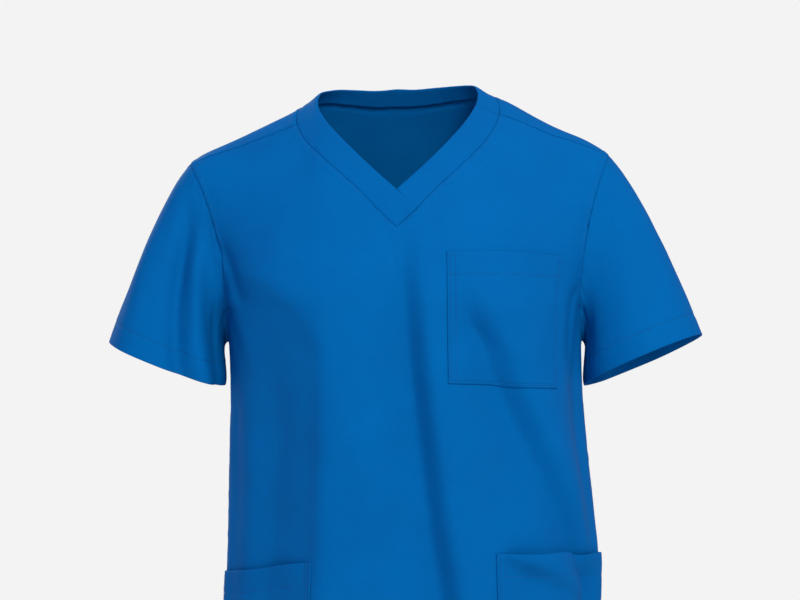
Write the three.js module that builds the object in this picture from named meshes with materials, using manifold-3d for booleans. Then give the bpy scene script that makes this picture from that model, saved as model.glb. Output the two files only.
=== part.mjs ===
// A short-sleeved V-neck scrub top, filled out as it is worn, with nobody in it.
//
// Millimetres, +Z up. X runs across the chest towards the wearer's left, and the front faces -Y.
// The origin is the middle of the line between the two points where the shoulders meet the neck, which is
// where the wearer's shoulders carry the top.
//
// The body is one surface, laid out on a flat pattern. u runs across from the centre line to the side
// seam, and v runs down from the crest of the shoulder, positive on the front and negative on the back.
// Down to the chest line each thread of the cloth bends from the shoulder crest to the chest, and below it
// hangs through the horizontal sections of SECTIONS. Every piece is cut from that surface.

import * as THREE from "three";
import { mergeVertices } from "three/addons/utils/BufferGeometryUtils.js";
import Module from "manifold-3d";

// Cloth and seams.
const CLOTH = 1.6;
const BAND_CLOTH = 2.2;
const SEAM_GAP = 0.3;
const POCKET_GAP = 0.35;
const MOUTH_DEPTH = 60;
const LONGEST_MITRE = 1.5;

// The cut of the body, on the pattern.
const HALF_CUT = 280;
const CHEST_DROP = 300;
const UNDERARM_DROP = 338;
const HEM_DROP = 785;
const HEM_SIDE_FALL = 12;
const NECK_POINT = 88.5;
const SHOULDER_POINT = 240;
const V_DROP = 173;
const BACK_NECK_DROP = 66;
const BAND_AT_SHOULDER = 22;
const BAND_AT_V = 24;
const BAND_AT_BACK = 26;
const BAND_BULGE = 5;
const SEAM_FORWARD_AT_NECK = 52;
const SEAM_FORWARD_AT_SLEEVE = 30;

// How the cloth lies over the shoulders: the line of the crest, with its height on the wearer's right and
// left, how steeply the cloth falls forward of it and rises behind it, and how far it keeps to that way, as a
// share of the way to the chest. Above the chest it hangs straight for CHEST_PULL of that way.
const CHEST_HEIGHT = -250;
const CREST_Y = 6;
const CENTRE_BLEND = 80;
const CENTRE_X = -4;
const LEAN = 0.05;
const LEAN_DEPTH = 250;
const CHEST_PULL = 0.8;
const CREST = [
  { u: 0, x: 0, right: 18, left: 22, fall: 0.5, pull: 0.45 },
  { u: 60, x: 60, right: 8, left: 13, fall: 0.5, pull: 0.45 },
  { u: 89, x: 89, right: -5, left: 2, fall: 0.45, pull: 0.45 },
  { u: 103, x: 103, right: -16, left: -6, fall: 0.4, pull: 0.45 },
  { u: 127, x: 127, right: -29, left: -15, fall: 0.35, pull: 0.48 },
  { u: 172, x: 172, right: -51, left: -39, fall: 0.25, pull: 0.58 },
  { u: 240, x: 240, right: -85, left: -75, fall: 0.1, pull: 0.9 },
  { u: 280, x: 266, right: -124, left: -114, fall: 0.1, pull: 1 },
];

// Horizontal sections of the body, from the chest to the hem: the reach of each side seam from the centre,
// and of the front and the back from the plane of the side seams.
const SECTION_POWER = 2.35;
const SECTIONS = [
  { z: -250, right: 197, left: 207, front: 149, back: 122 },
  { z: -340, right: 194, left: 208, front: 147, back: 116 },
  { z: -470, right: 196, left: 219, front: 140, back: 104 },
  { z: -560, right: 199, left: 224, front: 137, back: 104 },
  { z: -760, right: 208, left: 232, front: 137, back: 111 },
];

// Soft folds of the body. Each runs on the pattern from (u0, v0) to (u1, v1), bows sideways by bow, falls
// away over below and above to its -u and +u sides, and stands out by height, or in where that is negative.
const FOLDS = [
  { u0: -82, v0: 345, u1: -98, v1: 760, bow: 4, below: 15, above: 60, height: 8 },
  { u0: -166, v0: 350, u1: -172, v1: 760, bow: 0, below: 60, above: 56, height: -24 },
  { u0: -186, v0: 234, u1: -80, v1: 340, bow: 12, below: 22, above: 44, height: 6 },
  { u0: 6, v0: 270, u1: 64, v1: 760, bow: -6, below: 36, above: 13, height: -13 },
  { u0: 31, v0: 270, u1: 88, v1: 760, bow: -6, below: 13, above: 40, height: 10 },
  { u0: 73, v0: 300, u1: 226, v1: 640, bow: -4, below: 28, above: 14, height: -11 },
  { u0: 99, v0: 290, u1: 258, v1: 640, bow: -4, below: 14, above: 38, height: 9 },
  { u0: 240, v0: 330, u1: 226, v1: 700, bow: 0, below: 30, above: 16, height: -9 },
  { u0: -244, v0: 350, u1: -236, v1: 720, bow: 0, below: 16, above: 22, height: -4 },
  { u0: -40, v0: -250, u1: -70, v1: -760, bow: 0, below: 30, above: 36, height: 8 },
  { u0: -96, v0: -330, u1: -120, v1: -760, bow: 0, below: 26, above: 26, height: -8 },
  { u0: -170, v0: -300, u1: -172, v1: -740, bow: 0, below: 26, above: 26, height: 6 },
  { u0: 22, v0: -330, u1: 10, v1: -760, bow: 0, below: 24, above: 26, height: -7 },
  { u0: 84, v0: -250, u1: 96, v1: -760, bow: 0, below: 30, above: 32, height: 8 },
  { u0: 150, v0: -330, u1: 150, v1: -740, bow: 0, below: 24, above: 26, height: -7 },
  { u0: 214, v0: -330, u1: 204, v1: -740, bow: 0, below: 22, above: 22, height: 5 },
];
const FOLD_FADE = 0.22;
const SIDE_FADE = 34;

// The sleeves: the middle of each cuff, the half widths of its opening, how it slants, and how far its back
// hangs lower than its front. Each fold runs from turn0 at the armhole to turn1 at the cuff, where the crest
// is at turn 0, the front at a quarter, the underarm at a half and the back at three quarters.
const SLEEVES = {
  sleeve_right: {
    side: -1,
    x: -267,
    y: 4,
    z: -314,
    outward: 71,
    forward: 56,
    lean: 0.38,
    back_drop: -0.08,
    folds: [
      { turn0: 0.155, turn1: 0.3, from: 0.05, width: 0.036, height: -11 },
      { turn0: 0.22, turn1: 0.365, from: 0.05, width: 0.04, height: 9 },
      { turn0: 0.37, turn1: 0.44, from: 0.1, width: 0.04, height: -7 },
      { turn0: 0.04, turn1: 0.14, from: 0.3, width: 0.05, height: 4 },
      { turn0: 0.78, turn1: 0.64, from: 0.2, width: 0.045, height: -7 },
      { turn0: 0.9, turn1: 0.8, from: 0.3, width: 0.05, height: 4 },
    ],
  },
  sleeve_left: {
    side: 1,
    x: 279.5,
    y: 4,
    z: -310,
    outward: 73.5,
    forward: 57,
    lean: 0.42,
    back_drop: 0.17,
    folds: [
      { turn0: 0.4, turn1: 0.45, from: 0.15, width: 0.045, height: -4 },
      { turn0: 0.2, turn1: 0.27, from: 0.3, width: 0.06, height: 3 },
      { turn0: 0.76, turn1: 0.62, from: 0.2, width: 0.045, height: -6 },
      { turn0: 0.92, turn1: 0.82, from: 0.3, width: 0.05, height: -4 },
    ],
  },
};
const FOLD_GROWTH = 0.3;

// How a thread of a sleeve leaves the armhole: partly on across the seam, partly straight for the cuff and
// partly sideways, more so under the arm. Pulls are shares of the way from the armhole to the cuff.
const ACROSS_SEAM = 0.5;
const TO_CUFF = 0.5;
const SIDEWAYS = 0.1;
const SIDEWAYS_UNDER_ARM = 0.35;
const ARMHOLE_PULL = 0.8;
const CUFF_PULL = 0.7;

// The pockets, by their corners on the pattern: the top of the edge nearer the centre line, and on round. A
// lower pocket runs to the side seam. Its mouth gapes by a little more than the rest.
const POCKETS = {
  chest_pocket: {
    gape: 0,
    corners: [
      { u: 53, v: 235 },
      { u: 190, v: 222 },
      { u: 179, v: 392 },
      { u: 53, v: 382 },
    ],
  },
  pocket_right: {
    gape: 1.5,
    corners: [
      { u: -98, v: 573 },
      { u: -280, v: 592 },
      { u: -280, v: 772 },
      { u: -98, v: 757 },
    ],
  },
  pocket_left: {
    gape: 2.5,
    corners: [
      { u: 98, v: 573 },
      { u: 280, v: 592 },
      { u: 280, v: 772 },
      { u: 98, v: 757 },
    ],
  },
};

// How finely each edge is stepped, and how a pocket is cut out.
const NECK_STEPS = 6;
const LAST_NECK_STEP = 0.86;
const BACK_NECK_STEPS = 6;
const BAND_STEPS = 2;
const ARMHOLE_STEPS = 11;
const SIDE_STEPS = 13;
const PANEL_COLUMNS = 14;
const SLEEVE_RINGS = 10;
const POCKET_STEPS = 8;
const PAST_SIDE_SEAM = 30;
const CUT_DEPTH = 400;

const BLUE = { color: 0x0262b0, roughness: 0.85, metalness: 0 };
const TRIM = { color: 0x025ba6, roughness: 0.85, metalness: 0 };

const wasm = await Module();
wasm.setup();

const mix = (a, b, t) => a + (b - a) * t;
const smoothstep = (t) => {
  const c = Math.min(1, Math.max(0, t));
  return c * c * (3 - 2 * c);
};

// The value of one column of a table at a place along another, on a smooth curve through its rows.
function along(rows, key, place, column) {
  const last = rows.length - 1;
  const up = rows[last][key] > rows[0][key];
  let i = 0;
  while (i < last - 1 && (up ? place > rows[i + 1][key] : place < rows[i + 1][key])) i++;
  const secant = (k) => (rows[k + 1][column] - rows[k][column]) / (rows[k + 1][key] - rows[k][key]);
  const slope = (k) => {
    if (k === 0) return secant(0);
    if (k === last) return secant(last - 1);
    return (secant(k - 1) + secant(k)) / 2;
  };
  const span = rows[i + 1][key] - rows[i][key];
  const t = Math.min(1, Math.max(0, (place - rows[i][key]) / span));
  const [h00, h10, h01, h11] = hermiteWeights(t);
  return (
    h00 * rows[i][column] + h10 * span * slope(i) + h01 * rows[i + 1][column] + h11 * span * slope(i + 1)
  );
}

function hermiteWeights(t) {
  const t2 = t * t;
  const t3 = t2 * t;
  return [2 * t3 - 3 * t2 + 1, t3 - 2 * t2 + t, 3 * t2 - 2 * t3, t3 - t2];
}

// A cubic from one point to another that leaves and arrives along two given vectors.
function hermite(start, leaving, end, arriving, t) {
  const [h00, h10, h01, h11] = hermiteWeights(t);
  return new THREE.Vector3()
    .addScaledVector(start, h00)
    .addScaledVector(leaving, h10)
    .addScaledVector(end, h01)
    .addScaledVector(arriving, h11);
}

// A quarter of the body's section, a superellipse of width and depth 1, stepped evenly along its length.
const QUARTER = (() => {
  const STEPS = 400;
  const WIDTH_TO_DEPTH = 1.45;
  const points = [];
  let length = 0;
  for (let i = 0; i <= STEPS; i++) {
    const angle = (i / STEPS) * (Math.PI / 2);
    const x = Math.sin(angle) ** (2 / SECTION_POWER);
    const y = Math.cos(angle) ** (2 / SECTION_POWER);
    if (i > 0) length += Math.hypot((x - points[i - 1].x) * WIDTH_TO_DEPTH, y - points[i - 1].y);
    points.push({ x, y, length });
  }
  return points.map((p) => ({ x: p.x, y: p.y, share: p.length / length }));
})();

function quarterAt(share) {
  let low = 0;
  let high = QUARTER.length - 1;
  while (high - low > 1) {
    const middle = (low + high) >> 1;
    if (QUARTER[middle].share <= share) low = middle;
    else high = middle;
  }
  const t = (share - QUARTER[low].share) / (QUARTER[high].share - QUARTER[low].share);
  return { x: mix(QUARTER[low].x, QUARTER[high].x, t), y: mix(QUARTER[low].y, QUARTER[high].y, t) };
}

// How far the centre line's own place moves a point of the body sideways.
const centred = (u, x) => x + CENTRE_X * (1 - Math.abs(u) / HALF_CUT);

// The smooth body with no folds, at a height below the chest line.
function sectionPoint(u, isFront, z) {
  const quarter = quarterAt(Math.min(1, Math.abs(u) / HALF_CUT));
  const reach = along(SECTIONS, "z", z, u < 0 ? "right" : "left");
  const depth = along(SECTIONS, "z", z, isFront ? "front" : "back");
  const x = centred(u, Math.sign(u) * reach * quarter.x);
  const lean = LEAN * smoothstep((CHEST_HEIGHT - z) / LEAN_DEPTH);
  return new THREE.Vector3(x, CREST_Y + (isFront ? -1 : 1) * depth * quarter.y, z + lean * x);
}

// The smooth body at a point of the pattern.
function smoothBody(u, v) {
  const isFront = v >= 0;
  const drop = Math.abs(v);
  if (drop > CHEST_DROP) return sectionPoint(u, isFront, CHEST_HEIGHT - (drop - CHEST_DROP));
  const away = Math.abs(u);
  const blend = smoothstep((u + CENTRE_BLEND) / (2 * CENTRE_BLEND));
  const height = mix(along(CREST, "u", away, "right"), along(CREST, "u", away, "left"), blend);
  const start = new THREE.Vector3(centred(u, Math.sign(u) * along(CREST, "u", away, "x")), CREST_Y, height);
  const end = sectionPoint(u, isFront, CHEST_HEIGHT);
  const distance = start.distanceTo(end);
  const forward = isFront ? 1 : -1;
  const leaving = new THREE.Vector3(0, -forward, -forward * along(CREST, "u", away, "fall"));
  const arriving = end.clone().sub(sectionPoint(u, isFront, CHEST_HEIGHT - 1)).negate();
  return hermite(
    start,
    leaving.multiplyScalar(distance * along(CREST, "u", away, "pull")),
    end,
    arriving.multiplyScalar(distance * CHEST_PULL),
    drop / CHEST_DROP,
  );
}

// How far the folds move the cloth out at a point of the pattern.
function foldHeight(u, v) {
  let height = 0;
  for (const fold of FOLDS) {
    if (Math.sign(fold.v0) !== (v < 0 ? -1 : 1)) continue;
    const run = { u: fold.u1 - fold.u0, v: fold.v1 - fold.v0 };
    const length = Math.hypot(run.u, run.v);
    const t = ((u - fold.u0) * run.u + (v - fold.v0) * run.v) / (length * length);
    const bowed = fold.bow * 4 * t * (1 - t);
    const square = (u - fold.u0) * Math.abs(run.v) - (v - fold.v0) * run.u * Math.sign(run.v);
    const away = square / length - bowed;
    const width = away < 0 ? fold.below : fold.above;
    const start = smoothstep((t + FOLD_FADE) / (2 * FOLD_FADE));
    const end = smoothstep((1 + FOLD_FADE - t) / (2 * FOLD_FADE));
    height += fold.height * start * end * Math.exp(-((away / width) ** 2));
  }
  return height * smoothstep((HALF_CUT - Math.abs(u)) / SIDE_FADE);
}

// The outward direction of a surface given as a function of two parameters.
function outward(surface, a, b, step, flip) {
  const across = surface(a + step, b).sub(surface(a - step, b));
  const down = surface(a, b + step).sub(surface(a, b - step));
  return across.cross(down).multiplyScalar(flip).normalize();
}

function bodyPoint(u, v) {
  const inside = Math.sign(u) * Math.min(Math.abs(u), HALF_CUT - 0.6);
  const normal = outward(smoothBody, inside, v, 0.5, -1);
  return smoothBody(u, v).addScaledVector(normal, foldHeight(u, v));
}

const bodyOutward = (u, v) =>
  outward(bodyPoint, Math.sign(u) * Math.min(Math.abs(u), HALF_CUT - 1.5), v, 1, -1);

// The seams and edges, as curves on the pattern of the wearer's left half. Each starts at the shoulder.
const neckEdge = new THREE.CubicBezierCurve(
  new THREE.Vector2(NECK_POINT, 0),
  new THREE.Vector2(NECK_POINT + 14, 70),
  new THREE.Vector2(NECK_POINT - 27, V_DROP - 51),
  new THREE.Vector2(0, V_DROP),
);
const backNeckEdge = new THREE.CubicBezierCurve(
  new THREE.Vector2(NECK_POINT, 0),
  new THREE.Vector2(NECK_POINT - 2, -36),
  new THREE.Vector2(NECK_POINT - 36, -BACK_NECK_DROP),
  new THREE.Vector2(0, -BACK_NECK_DROP),
);
const armholeFront = new THREE.CubicBezierCurve(
  new THREE.Vector2(SHOULDER_POINT, 0),
  new THREE.Vector2(SHOULDER_POINT - 4, 110),
  new THREE.Vector2(SHOULDER_POINT - 28, UNDERARM_DROP - 68),
  new THREE.Vector2(HALF_CUT, UNDERARM_DROP),
);
const armholeBack = new THREE.CubicBezierCurve(
  new THREE.Vector2(SHOULDER_POINT, 0),
  new THREE.Vector2(SHOULDER_POINT - 2, -90),
  new THREE.Vector2(SHOULDER_POINT - 8, -UNDERARM_DROP + 30),
  new THREE.Vector2(HALF_CUT, -UNDERARM_DROP),
);

// A point of the neck edge or, a band's width outside it, of the neck seam.
function neckPoint(curve, t, share) {
  const isFront = curve === neckEdge;
  const way = curve.getTangent(t);
  const bulge = isFront ? BAND_BULGE * 4 * t * (1 - t) : 0;
  const width = (mix(BAND_AT_SHOULDER, isFront ? BAND_AT_V : BAND_AT_BACK, t) + bulge) * share;
  const outside = isFront ? new THREE.Vector2(way.y, -way.x) : new THREE.Vector2(-way.y, way.x);
  return curve.getPoint(t).addScaledVector(outside, width);
}

// Where a curve from the shoulder crest reaches a given distance forward of it.
function whereForward(pointAt, forward) {
  const STEP = 0.002;
  let t = 0;
  while (pointAt(t).y < forward) t += STEP;
  return t;
}

// The front of the neck, from the shoulder seam to the point of the V, as the edge or as the seam. The seam
// also has the point where the lap ends, and its own point on the centre line.
function frontNeckLine(share) {
  const atSeam = whereForward((t) => neckPoint(neckEdge, t, share), SEAM_FORWARD_AT_NECK);
  const points = [];
  for (let i = 0; i < NECK_STEPS; i++) {
    points.push(neckPoint(neckEdge, mix(atSeam, LAST_NECK_STEP, i / (NECK_STEPS - 1)), share));
  }
  const way = neckEdge.getTangent(1);
  const outside = new THREE.Vector2(way.y, -way.x);
  if (share > 0) {
    const crossing = V_DROP + BAND_AT_V / outside.x;
    const lapRun = (crossing - V_DROP) / (2 * way.y);
    points.push(new THREE.Vector2(-lapRun * way.x, V_DROP + lapRun * way.y), new THREE.Vector2(0, crossing));
  } else {
    points.push(new THREE.Vector2(0, V_DROP));
  }
  return points;
}

// The back of the neck, from the shoulder seam over the crest to the centre line.
function backNeckLine(share) {
  const atSeam = whereForward((t) => neckPoint(neckEdge, t, share), SEAM_FORWARD_AT_NECK);
  const points = [neckPoint(neckEdge, atSeam, share), neckPoint(neckEdge, atSeam / 2, share)];
  for (let i = 0; i <= BACK_NECK_STEPS; i++) points.push(neckPoint(backNeckEdge, i / BACK_NECK_STEPS, share));
  points[points.length - 1].x = 0;
  return points;
}

const armholeAtSeam = whereForward((t) => armholeFront.getPoint(t), SEAM_FORWARD_AT_SLEEVE);

function frontArmhole() {
  const points = [];
  for (let i = 0; i <= ARMHOLE_STEPS; i++) {
    points.push(armholeFront.getPoint(mix(armholeAtSeam, 1, i / ARMHOLE_STEPS)));
  }
  return points;
}

function backArmhole() {
  const points = [armholeFront.getPoint(armholeAtSeam)];
  for (let i = 0; i <= ARMHOLE_STEPS; i++) points.push(armholeBack.getPoint(i / ARMHOLE_STEPS));
  return points;
}

// Goes on from the end of a line, straight down the pattern to a given depth.
function goneOnTo(line, depth, steps) {
  const last = line[line.length - 1];
  const points = [...line];
  for (let i = 1; i <= steps; i++) points.push(new THREE.Vector2(last.x, mix(last.y, depth, i / steps)));
  return points;
}

// A sheet is made of places on the cloth, each with its outward direction there, and of faces between them.
class Sheet {
  places = [];
  faces = [];
  known = new Map();

  place(pattern, isFree) {
    const key = patternKey(pattern);
    if (!this.known.has(key)) {
      this.known.set(key, this.places.length);
      this.places.push({
        pattern,
        isFree,
        point: bodyPoint(pattern.x, pattern.y),
        out: bodyOutward(pattern.x, pattern.y),
      });
    }
    return this.known.get(key);
  }

  quad(a, b, c, d) {
    for (const face of [
      [a, b, c],
      [a, c, d],
    ]) {
      if (new Set(face).size === 3) this.faces.push(face);
    }
  }

  // Adds rows of pattern points, as they are or mirrored to the wearer's right. Some rows are a free edge.
  addRows(rows, isFree, isMirrored) {
    const flip = isMirrored ? -1 : 1;
    const indices = rows.map((row, j) =>
      row.map((p) => this.place(new THREE.Vector2(p.x * flip, p.y), isFree(j))),
    );
    for (let j = 1; j < rows.length; j++) {
      for (let i = 1; i < rows[j].length; i++) {
        const corners = [indices[j][i], indices[j][i - 1], indices[j - 1][i - 1], indices[j - 1][i]];
        this.quad(...(isMirrored ? corners.reverse() : corners));
      }
    }
  }

  // Turns the faces so that they are seen from outside the cloth.
  faceOut() {
    const [a, b, c] = this.faces[0].map((i) => this.places[i]);
    const normal = b.point.clone().sub(a.point).cross(c.point.clone().sub(a.point));
    if (normal.dot(a.out) < 0) this.faces.forEach((face) => face.reverse());
    return this;
  }

  // The steps of the border, with the sheet on their left.
  border() {
    const steps = new Map();
    const stepKey = (a, b) => a * this.places.length + b;
    for (const face of this.faces) {
      face.forEach((a, k) => steps.set(stepKey(a, face[(k + 1) % 3]), [a, face[(k + 1) % 3]]));
    }
    return [...steps.values()].filter(([a, b]) => !steps.has(stepKey(b, a)));
  }

  // Draws every edge but the free ones in by half a seam gap, so that the pieces at a seam stay apart.
  drawIn() {
    const meeting = new Map();
    for (const [a, b] of this.border()) {
      const [from, to] = [this.places[a], this.places[b]];
      const inward = from.out.clone().add(to.out).cross(to.point.clone().sub(from.point)).normalize();
      const distance = from.isFree && to.isFree ? 0 : SEAM_GAP / 2;
      for (const place of [from, to]) {
        if (!meeting.has(place)) meeting.set(place, []);
        meeting.get(place).push({ inward, distance });
      }
    }
    for (const [place, [a, b]] of meeting) {
      const c = a.inward.dot(b.inward);
      if (c > 0.98) {
        const middle = a.inward.clone().add(b.inward).normalize();
        place.point.addScaledVector(middle, Math.max(a.distance, b.distance));
      } else {
        place.point.addScaledVector(a.inward, (a.distance - c * b.distance) / (1 - c * c));
        place.point.addScaledVector(b.inward, (b.distance - c * a.distance) / (1 - c * c));
      }
    }
    return this;
  }

  // The same sheet further out, by a distance that depends on the place.
  movedOut(distanceAt) {
    const moved = new Sheet();
    moved.places = this.places.map((at) => ({
      ...at,
      point: at.point.clone().addScaledVector(at.out, distanceAt(at.point)),
    }));
    moved.faces = this.faces;
    return moved;
  }

  // A closed wall between two distances out from the sheet.
  wall(inner, outer) {
    const positions = [inner, outer].flatMap((distance) =>
      this.places.flatMap(({ point, out, stretch = 1 }) =>
        point.clone().addScaledVector(out, distance * stretch).toArray(),
      ),
    );
    const count = this.places.length;
    const index = this.faces.flatMap(([a, b, c]) => [a + count, b + count, c + count, a, c, b]);
    // Both pieces at a seam cut the edge's wall along the same diagonals, so that they stay parallel.
    const rank = ({ pattern }) => Math.abs(pattern.x) + Math.abs(pattern.y) / 3;
    for (const [a, b] of this.border()) {
      if (rank(this.places[b]) > rank(this.places[a])) {
        index.push(b + count, a + count, a, b + count, a, b);
      } else {
        index.push(b + count, a + count, b, a + count, a, b);
      }
    }
    const geometry = new THREE.BufferGeometry();
    geometry.setAttribute("position", new THREE.Float32BufferAttribute(positions, 3));
    geometry.setIndex(index);
    return geometry;
  }
}

const patternKey = (p) => `${Math.round(p.x * 1000)} ${Math.round(p.y * 1000)}`;

// Half a body panel: rows of pattern points from the neck and the centre line out to the armhole and the
// side seam, from the shoulder seam down to the hem.
function halfPanel(neck, armhole, sign) {
  const rows = armhole.length - 1 + SIDE_STEPS;
  const inner = goneOnTo(neck, sign * HEM_DROP, rows - neck.length + 1);
  const outer = goneOnTo(armhole, sign * (HEM_DROP + HEM_SIDE_FALL), SIDE_STEPS);
  return inner.map((start, j) => {
    const row = [];
    for (let i = 0; i <= PANEL_COLUMNS; i++) {
      const s = i / PANEL_COLUMNS;
      const point = start.clone().lerp(outer[j], s);
      point.y += sign * HEM_SIDE_FALL * (s * s - s) * (j / rows) ** 4;
      row.push(point);
    }
    return row;
  });
}

function bodyPanel(neck, armhole, sign) {
  const sheet = new Sheet();
  const rows = halfPanel(neck, armhole, sign);
  const isHem = (j) => j === rows.length - 1;
  sheet.addRows(rows, isHem, false);
  sheet.addRows(rows, isHem, true);
  sheet.faceOut();
  for (const at of sheet.places) Object.assign(at, armholeMitres.get(patternKey(at.pattern)));
  return sheet.drawIn();
}

// Rows of pattern points from a neck edge to a neck seam.
const bandRows = (edge, seam) => {
  const rows = [];
  for (let j = 0; j <= BAND_STEPS; j++) {
    rows.push(edge.map((p, i) => p.clone().lerp(seam[i], j / BAND_STEPS)));
  }
  return rows;
};

const isNeckEdge = (j) => j === 0;

function backBand() {
  const sheet = new Sheet();
  const rows = bandRows(backNeckLine(0), backNeckLine(1));
  sheet.addRows(rows, isNeckEdge, false);
  sheet.addRows(rows, isNeckEdge, true);
  return sheet.faceOut().drawIn();
}

// The two front bands lap at the point of the V. The left one ends at the line of the right one's edge, and
// the right one runs on over the centre line to the seam of the left one.
function frontBand(isRight) {
  const edge = frontNeckLine(0);
  const seam = frontNeckLine(1);
  const sheet = new Sheet();
  if (isRight) {
    const vPoint = edge[edge.length - 1];
    const lapEnd = seam[seam.length - 2];
    edge.push(vPoint, vPoint);
    seam.push(new THREE.Vector2(-lapEnd.x, lapEnd.y));
  } else {
    seam.pop();
  }
  sheet.addRows(bandRows(edge, seam), isNeckEdge, isRight);
  return sheet.faceOut().drawIn();
}

// A sleeve is set into the armhole: each of its threads leaves the body across the seam and falls to the
// cuff. turn runs round the sleeve from the crest over the front to the underarm and up the back.
function sleeveSurface(name, loop) {
  const cuff = SLEEVES[name];
  const away = new THREE.Vector3(cuff.side, 0, 0);
  const axis = new THREE.Vector3(cuff.side * cuff.lean, 0, -1).normalize();
  const outerEdge = new THREE.Vector3(cuff.side, 0, cuff.lean).normalize();
  const frontEdge = new THREE.Vector3(0, -1, cuff.back_drop).normalize();
  const middle = new THREE.Vector3(cuff.x, cuff.y, cuff.z);
  const closed = new THREE.CatmullRomCurve3(loop.map((p) => p.point), true, "centripetal");
  const leaving = new THREE.CatmullRomCurve3(loop.map((p) => p.across), true, "centripetal");
  return (turn, share) => {
    const place = turn - Math.floor(turn);
    const start = closed.getPoint(place);
    const angle = place * 2 * Math.PI;
    const end = middle
      .clone()
      .addScaledVector(outerEdge, cuff.outward * Math.cos(angle))
      .addScaledVector(frontEdge, cuff.forward * Math.sin(angle));
    const chord = end.clone().sub(start);
    const length = chord.length();
    const under = (1 - Math.cos(angle)) / 2;
    const out = leaving
      .getPoint(place)
      .normalize()
      .multiplyScalar(ACROSS_SEAM)
      .addScaledVector(chord.normalize(), TO_CUFF)
      .addScaledVector(away, SIDEWAYS + SIDEWAYS_UNDER_ARM * under)
      .normalize()
      .multiplyScalar(length * ARMHOLE_PULL);
    return hermite(start, out, end, axis.clone().multiplyScalar(length * CUFF_PULL), share);
  };
}

function sleeveFoldHeight(folds, turn, share) {
  let height = 0;
  for (const fold of folds) {
    const away = Math.abs(turn - mix(fold.turn0, fold.turn1, share));
    const round = Math.min(away, 1 - away);
    const grown = smoothstep((share - fold.from) / FOLD_GROWTH);
    height += fold.height * grown * Math.exp(-((round / fold.width) ** 2));
  }
  return height;
}

// The armhole as a loop in space: the crest, down the front to the underarm, and up the back.
function armholeLoop(side) {
  const front = frontArmhole();
  const back = backArmhole().slice(1);
  const pattern = [back[0], ...front, ...back.slice(1, -1).reverse()];
  const places = pattern.map((p) => new THREE.Vector2(p.x * side, p.y));
  return places.map((p, i) => {
    const before = places[(i + places.length - 1) % places.length];
    const after = places[(i + 1) % places.length];
    const out = bodyOutward(p.x, p.y);
    const edge = bodyPoint(after.x, after.y).sub(bodyPoint(before.x, before.y));
    const across = edge.cross(out).normalize().multiplyScalar(-side);
    return { pattern: p, point: bodyPoint(p.x, p.y), out, across };
  });
}

const armholeMitres = new Map();

function sleeveSheet(name) {
  const { side, folds } = SLEEVES[name];
  const loop = armholeLoop(side);
  const count = loop.length;
  const smooth = sleeveSurface(name, loop);
  const inside = (share, margin) => Math.min(1 - margin, Math.max(margin, share));
  const surface = (turn, share) =>
    smooth(turn, share).addScaledVector(
      outward(smooth, turn, inside(share, 0.02), 0.004, side),
      sleeveFoldHeight(folds, turn - Math.floor(turn), share),
    );
  const sheet = new Sheet();
  for (let j = 0; j <= SLEEVE_RINGS; j++) {
    for (let i = 0; i < count; i++) {
      sheet.places.push({
        pattern: loop[i].pattern,
        isFree: j === SLEEVE_RINGS,
        point: surface(i / count, j / SLEEVE_RINGS),
        out: outward(surface, i / count, inside(j / SLEEVE_RINGS, 0.01), 0.005, side),
      });
    }
  }
  for (let j = 0; j < SLEEVE_RINGS; j++) {
    for (let i = 0; i < count; i++) {
      const next = (i + 1) % count;
      const corners = [j * count + i, j * count + next, (j + 1) * count + next, (j + 1) * count + i];
      sheet.quad(...(side > 0 ? corners : corners.reverse()));
    }
  }
  // At the armhole the sleeve and the body share one mitred edge.
  loop.forEach(({ pattern, out }, i) => {
    const at = sheet.places[i];
    const mitre = at.out.clone().add(out).normalize();
    const stretch = Math.min(LONGEST_MITRE, 1 / mitre.dot(out));
    Object.assign(at, { out: mitre, stretch });
    armholeMitres.set(patternKey(pattern), { out: mitre, stretch });
    armholeMitres.set(patternKey(new THREE.Vector2(pattern.x, -pattern.y)), { out: mitre, stretch });
  });
  return sheet.faceOut().drawIn();
}

function solidOf(geometry) {
  const bare = new THREE.BufferGeometry();
  bare.setAttribute("position", geometry.getAttribute("position"));
  if (geometry.getIndex()) bare.setIndex(geometry.getIndex());
  const merged = mergeVertices(bare, 1e-4);
  return new wasm.Manifold(
    new wasm.Mesh({
      numProp: 3,
      vertProperties: new Float32Array(merged.getAttribute("position").array),
      triVerts: new Uint32Array(merged.getIndex().array),
    }),
  );
}

function geometryOf(solid) {
  const made = solid.getMesh();
  const geometry = new THREE.BufferGeometry();
  geometry.setAttribute("position", new THREE.BufferAttribute(made.vertProperties, 3));
  geometry.setIndex(new THREE.BufferAttribute(made.triVerts, 1));
  return geometry;
}

// The outline of a pocket as it is seen from the front, past the side seam where it runs to it.
function pocketOutline(corners) {
  const points = [];
  corners.forEach((corner, k) => {
    const next = corners[(k + 1) % corners.length];
    for (let i = 0; i < POCKET_STEPS; i++) {
      const u = mix(corner.u, next.u, i / POCKET_STEPS);
      const place = bodyPoint(u, mix(corner.v, next.v, i / POCKET_STEPS));
      const beyond = Math.abs(u) < HALF_CUT ? 0 : Math.sign(u) * PAST_SIDE_SEAM;
      points.push(new THREE.Vector2(place.x + beyond, place.z));
    }
  });
  return new THREE.Shape(points);
}

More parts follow.
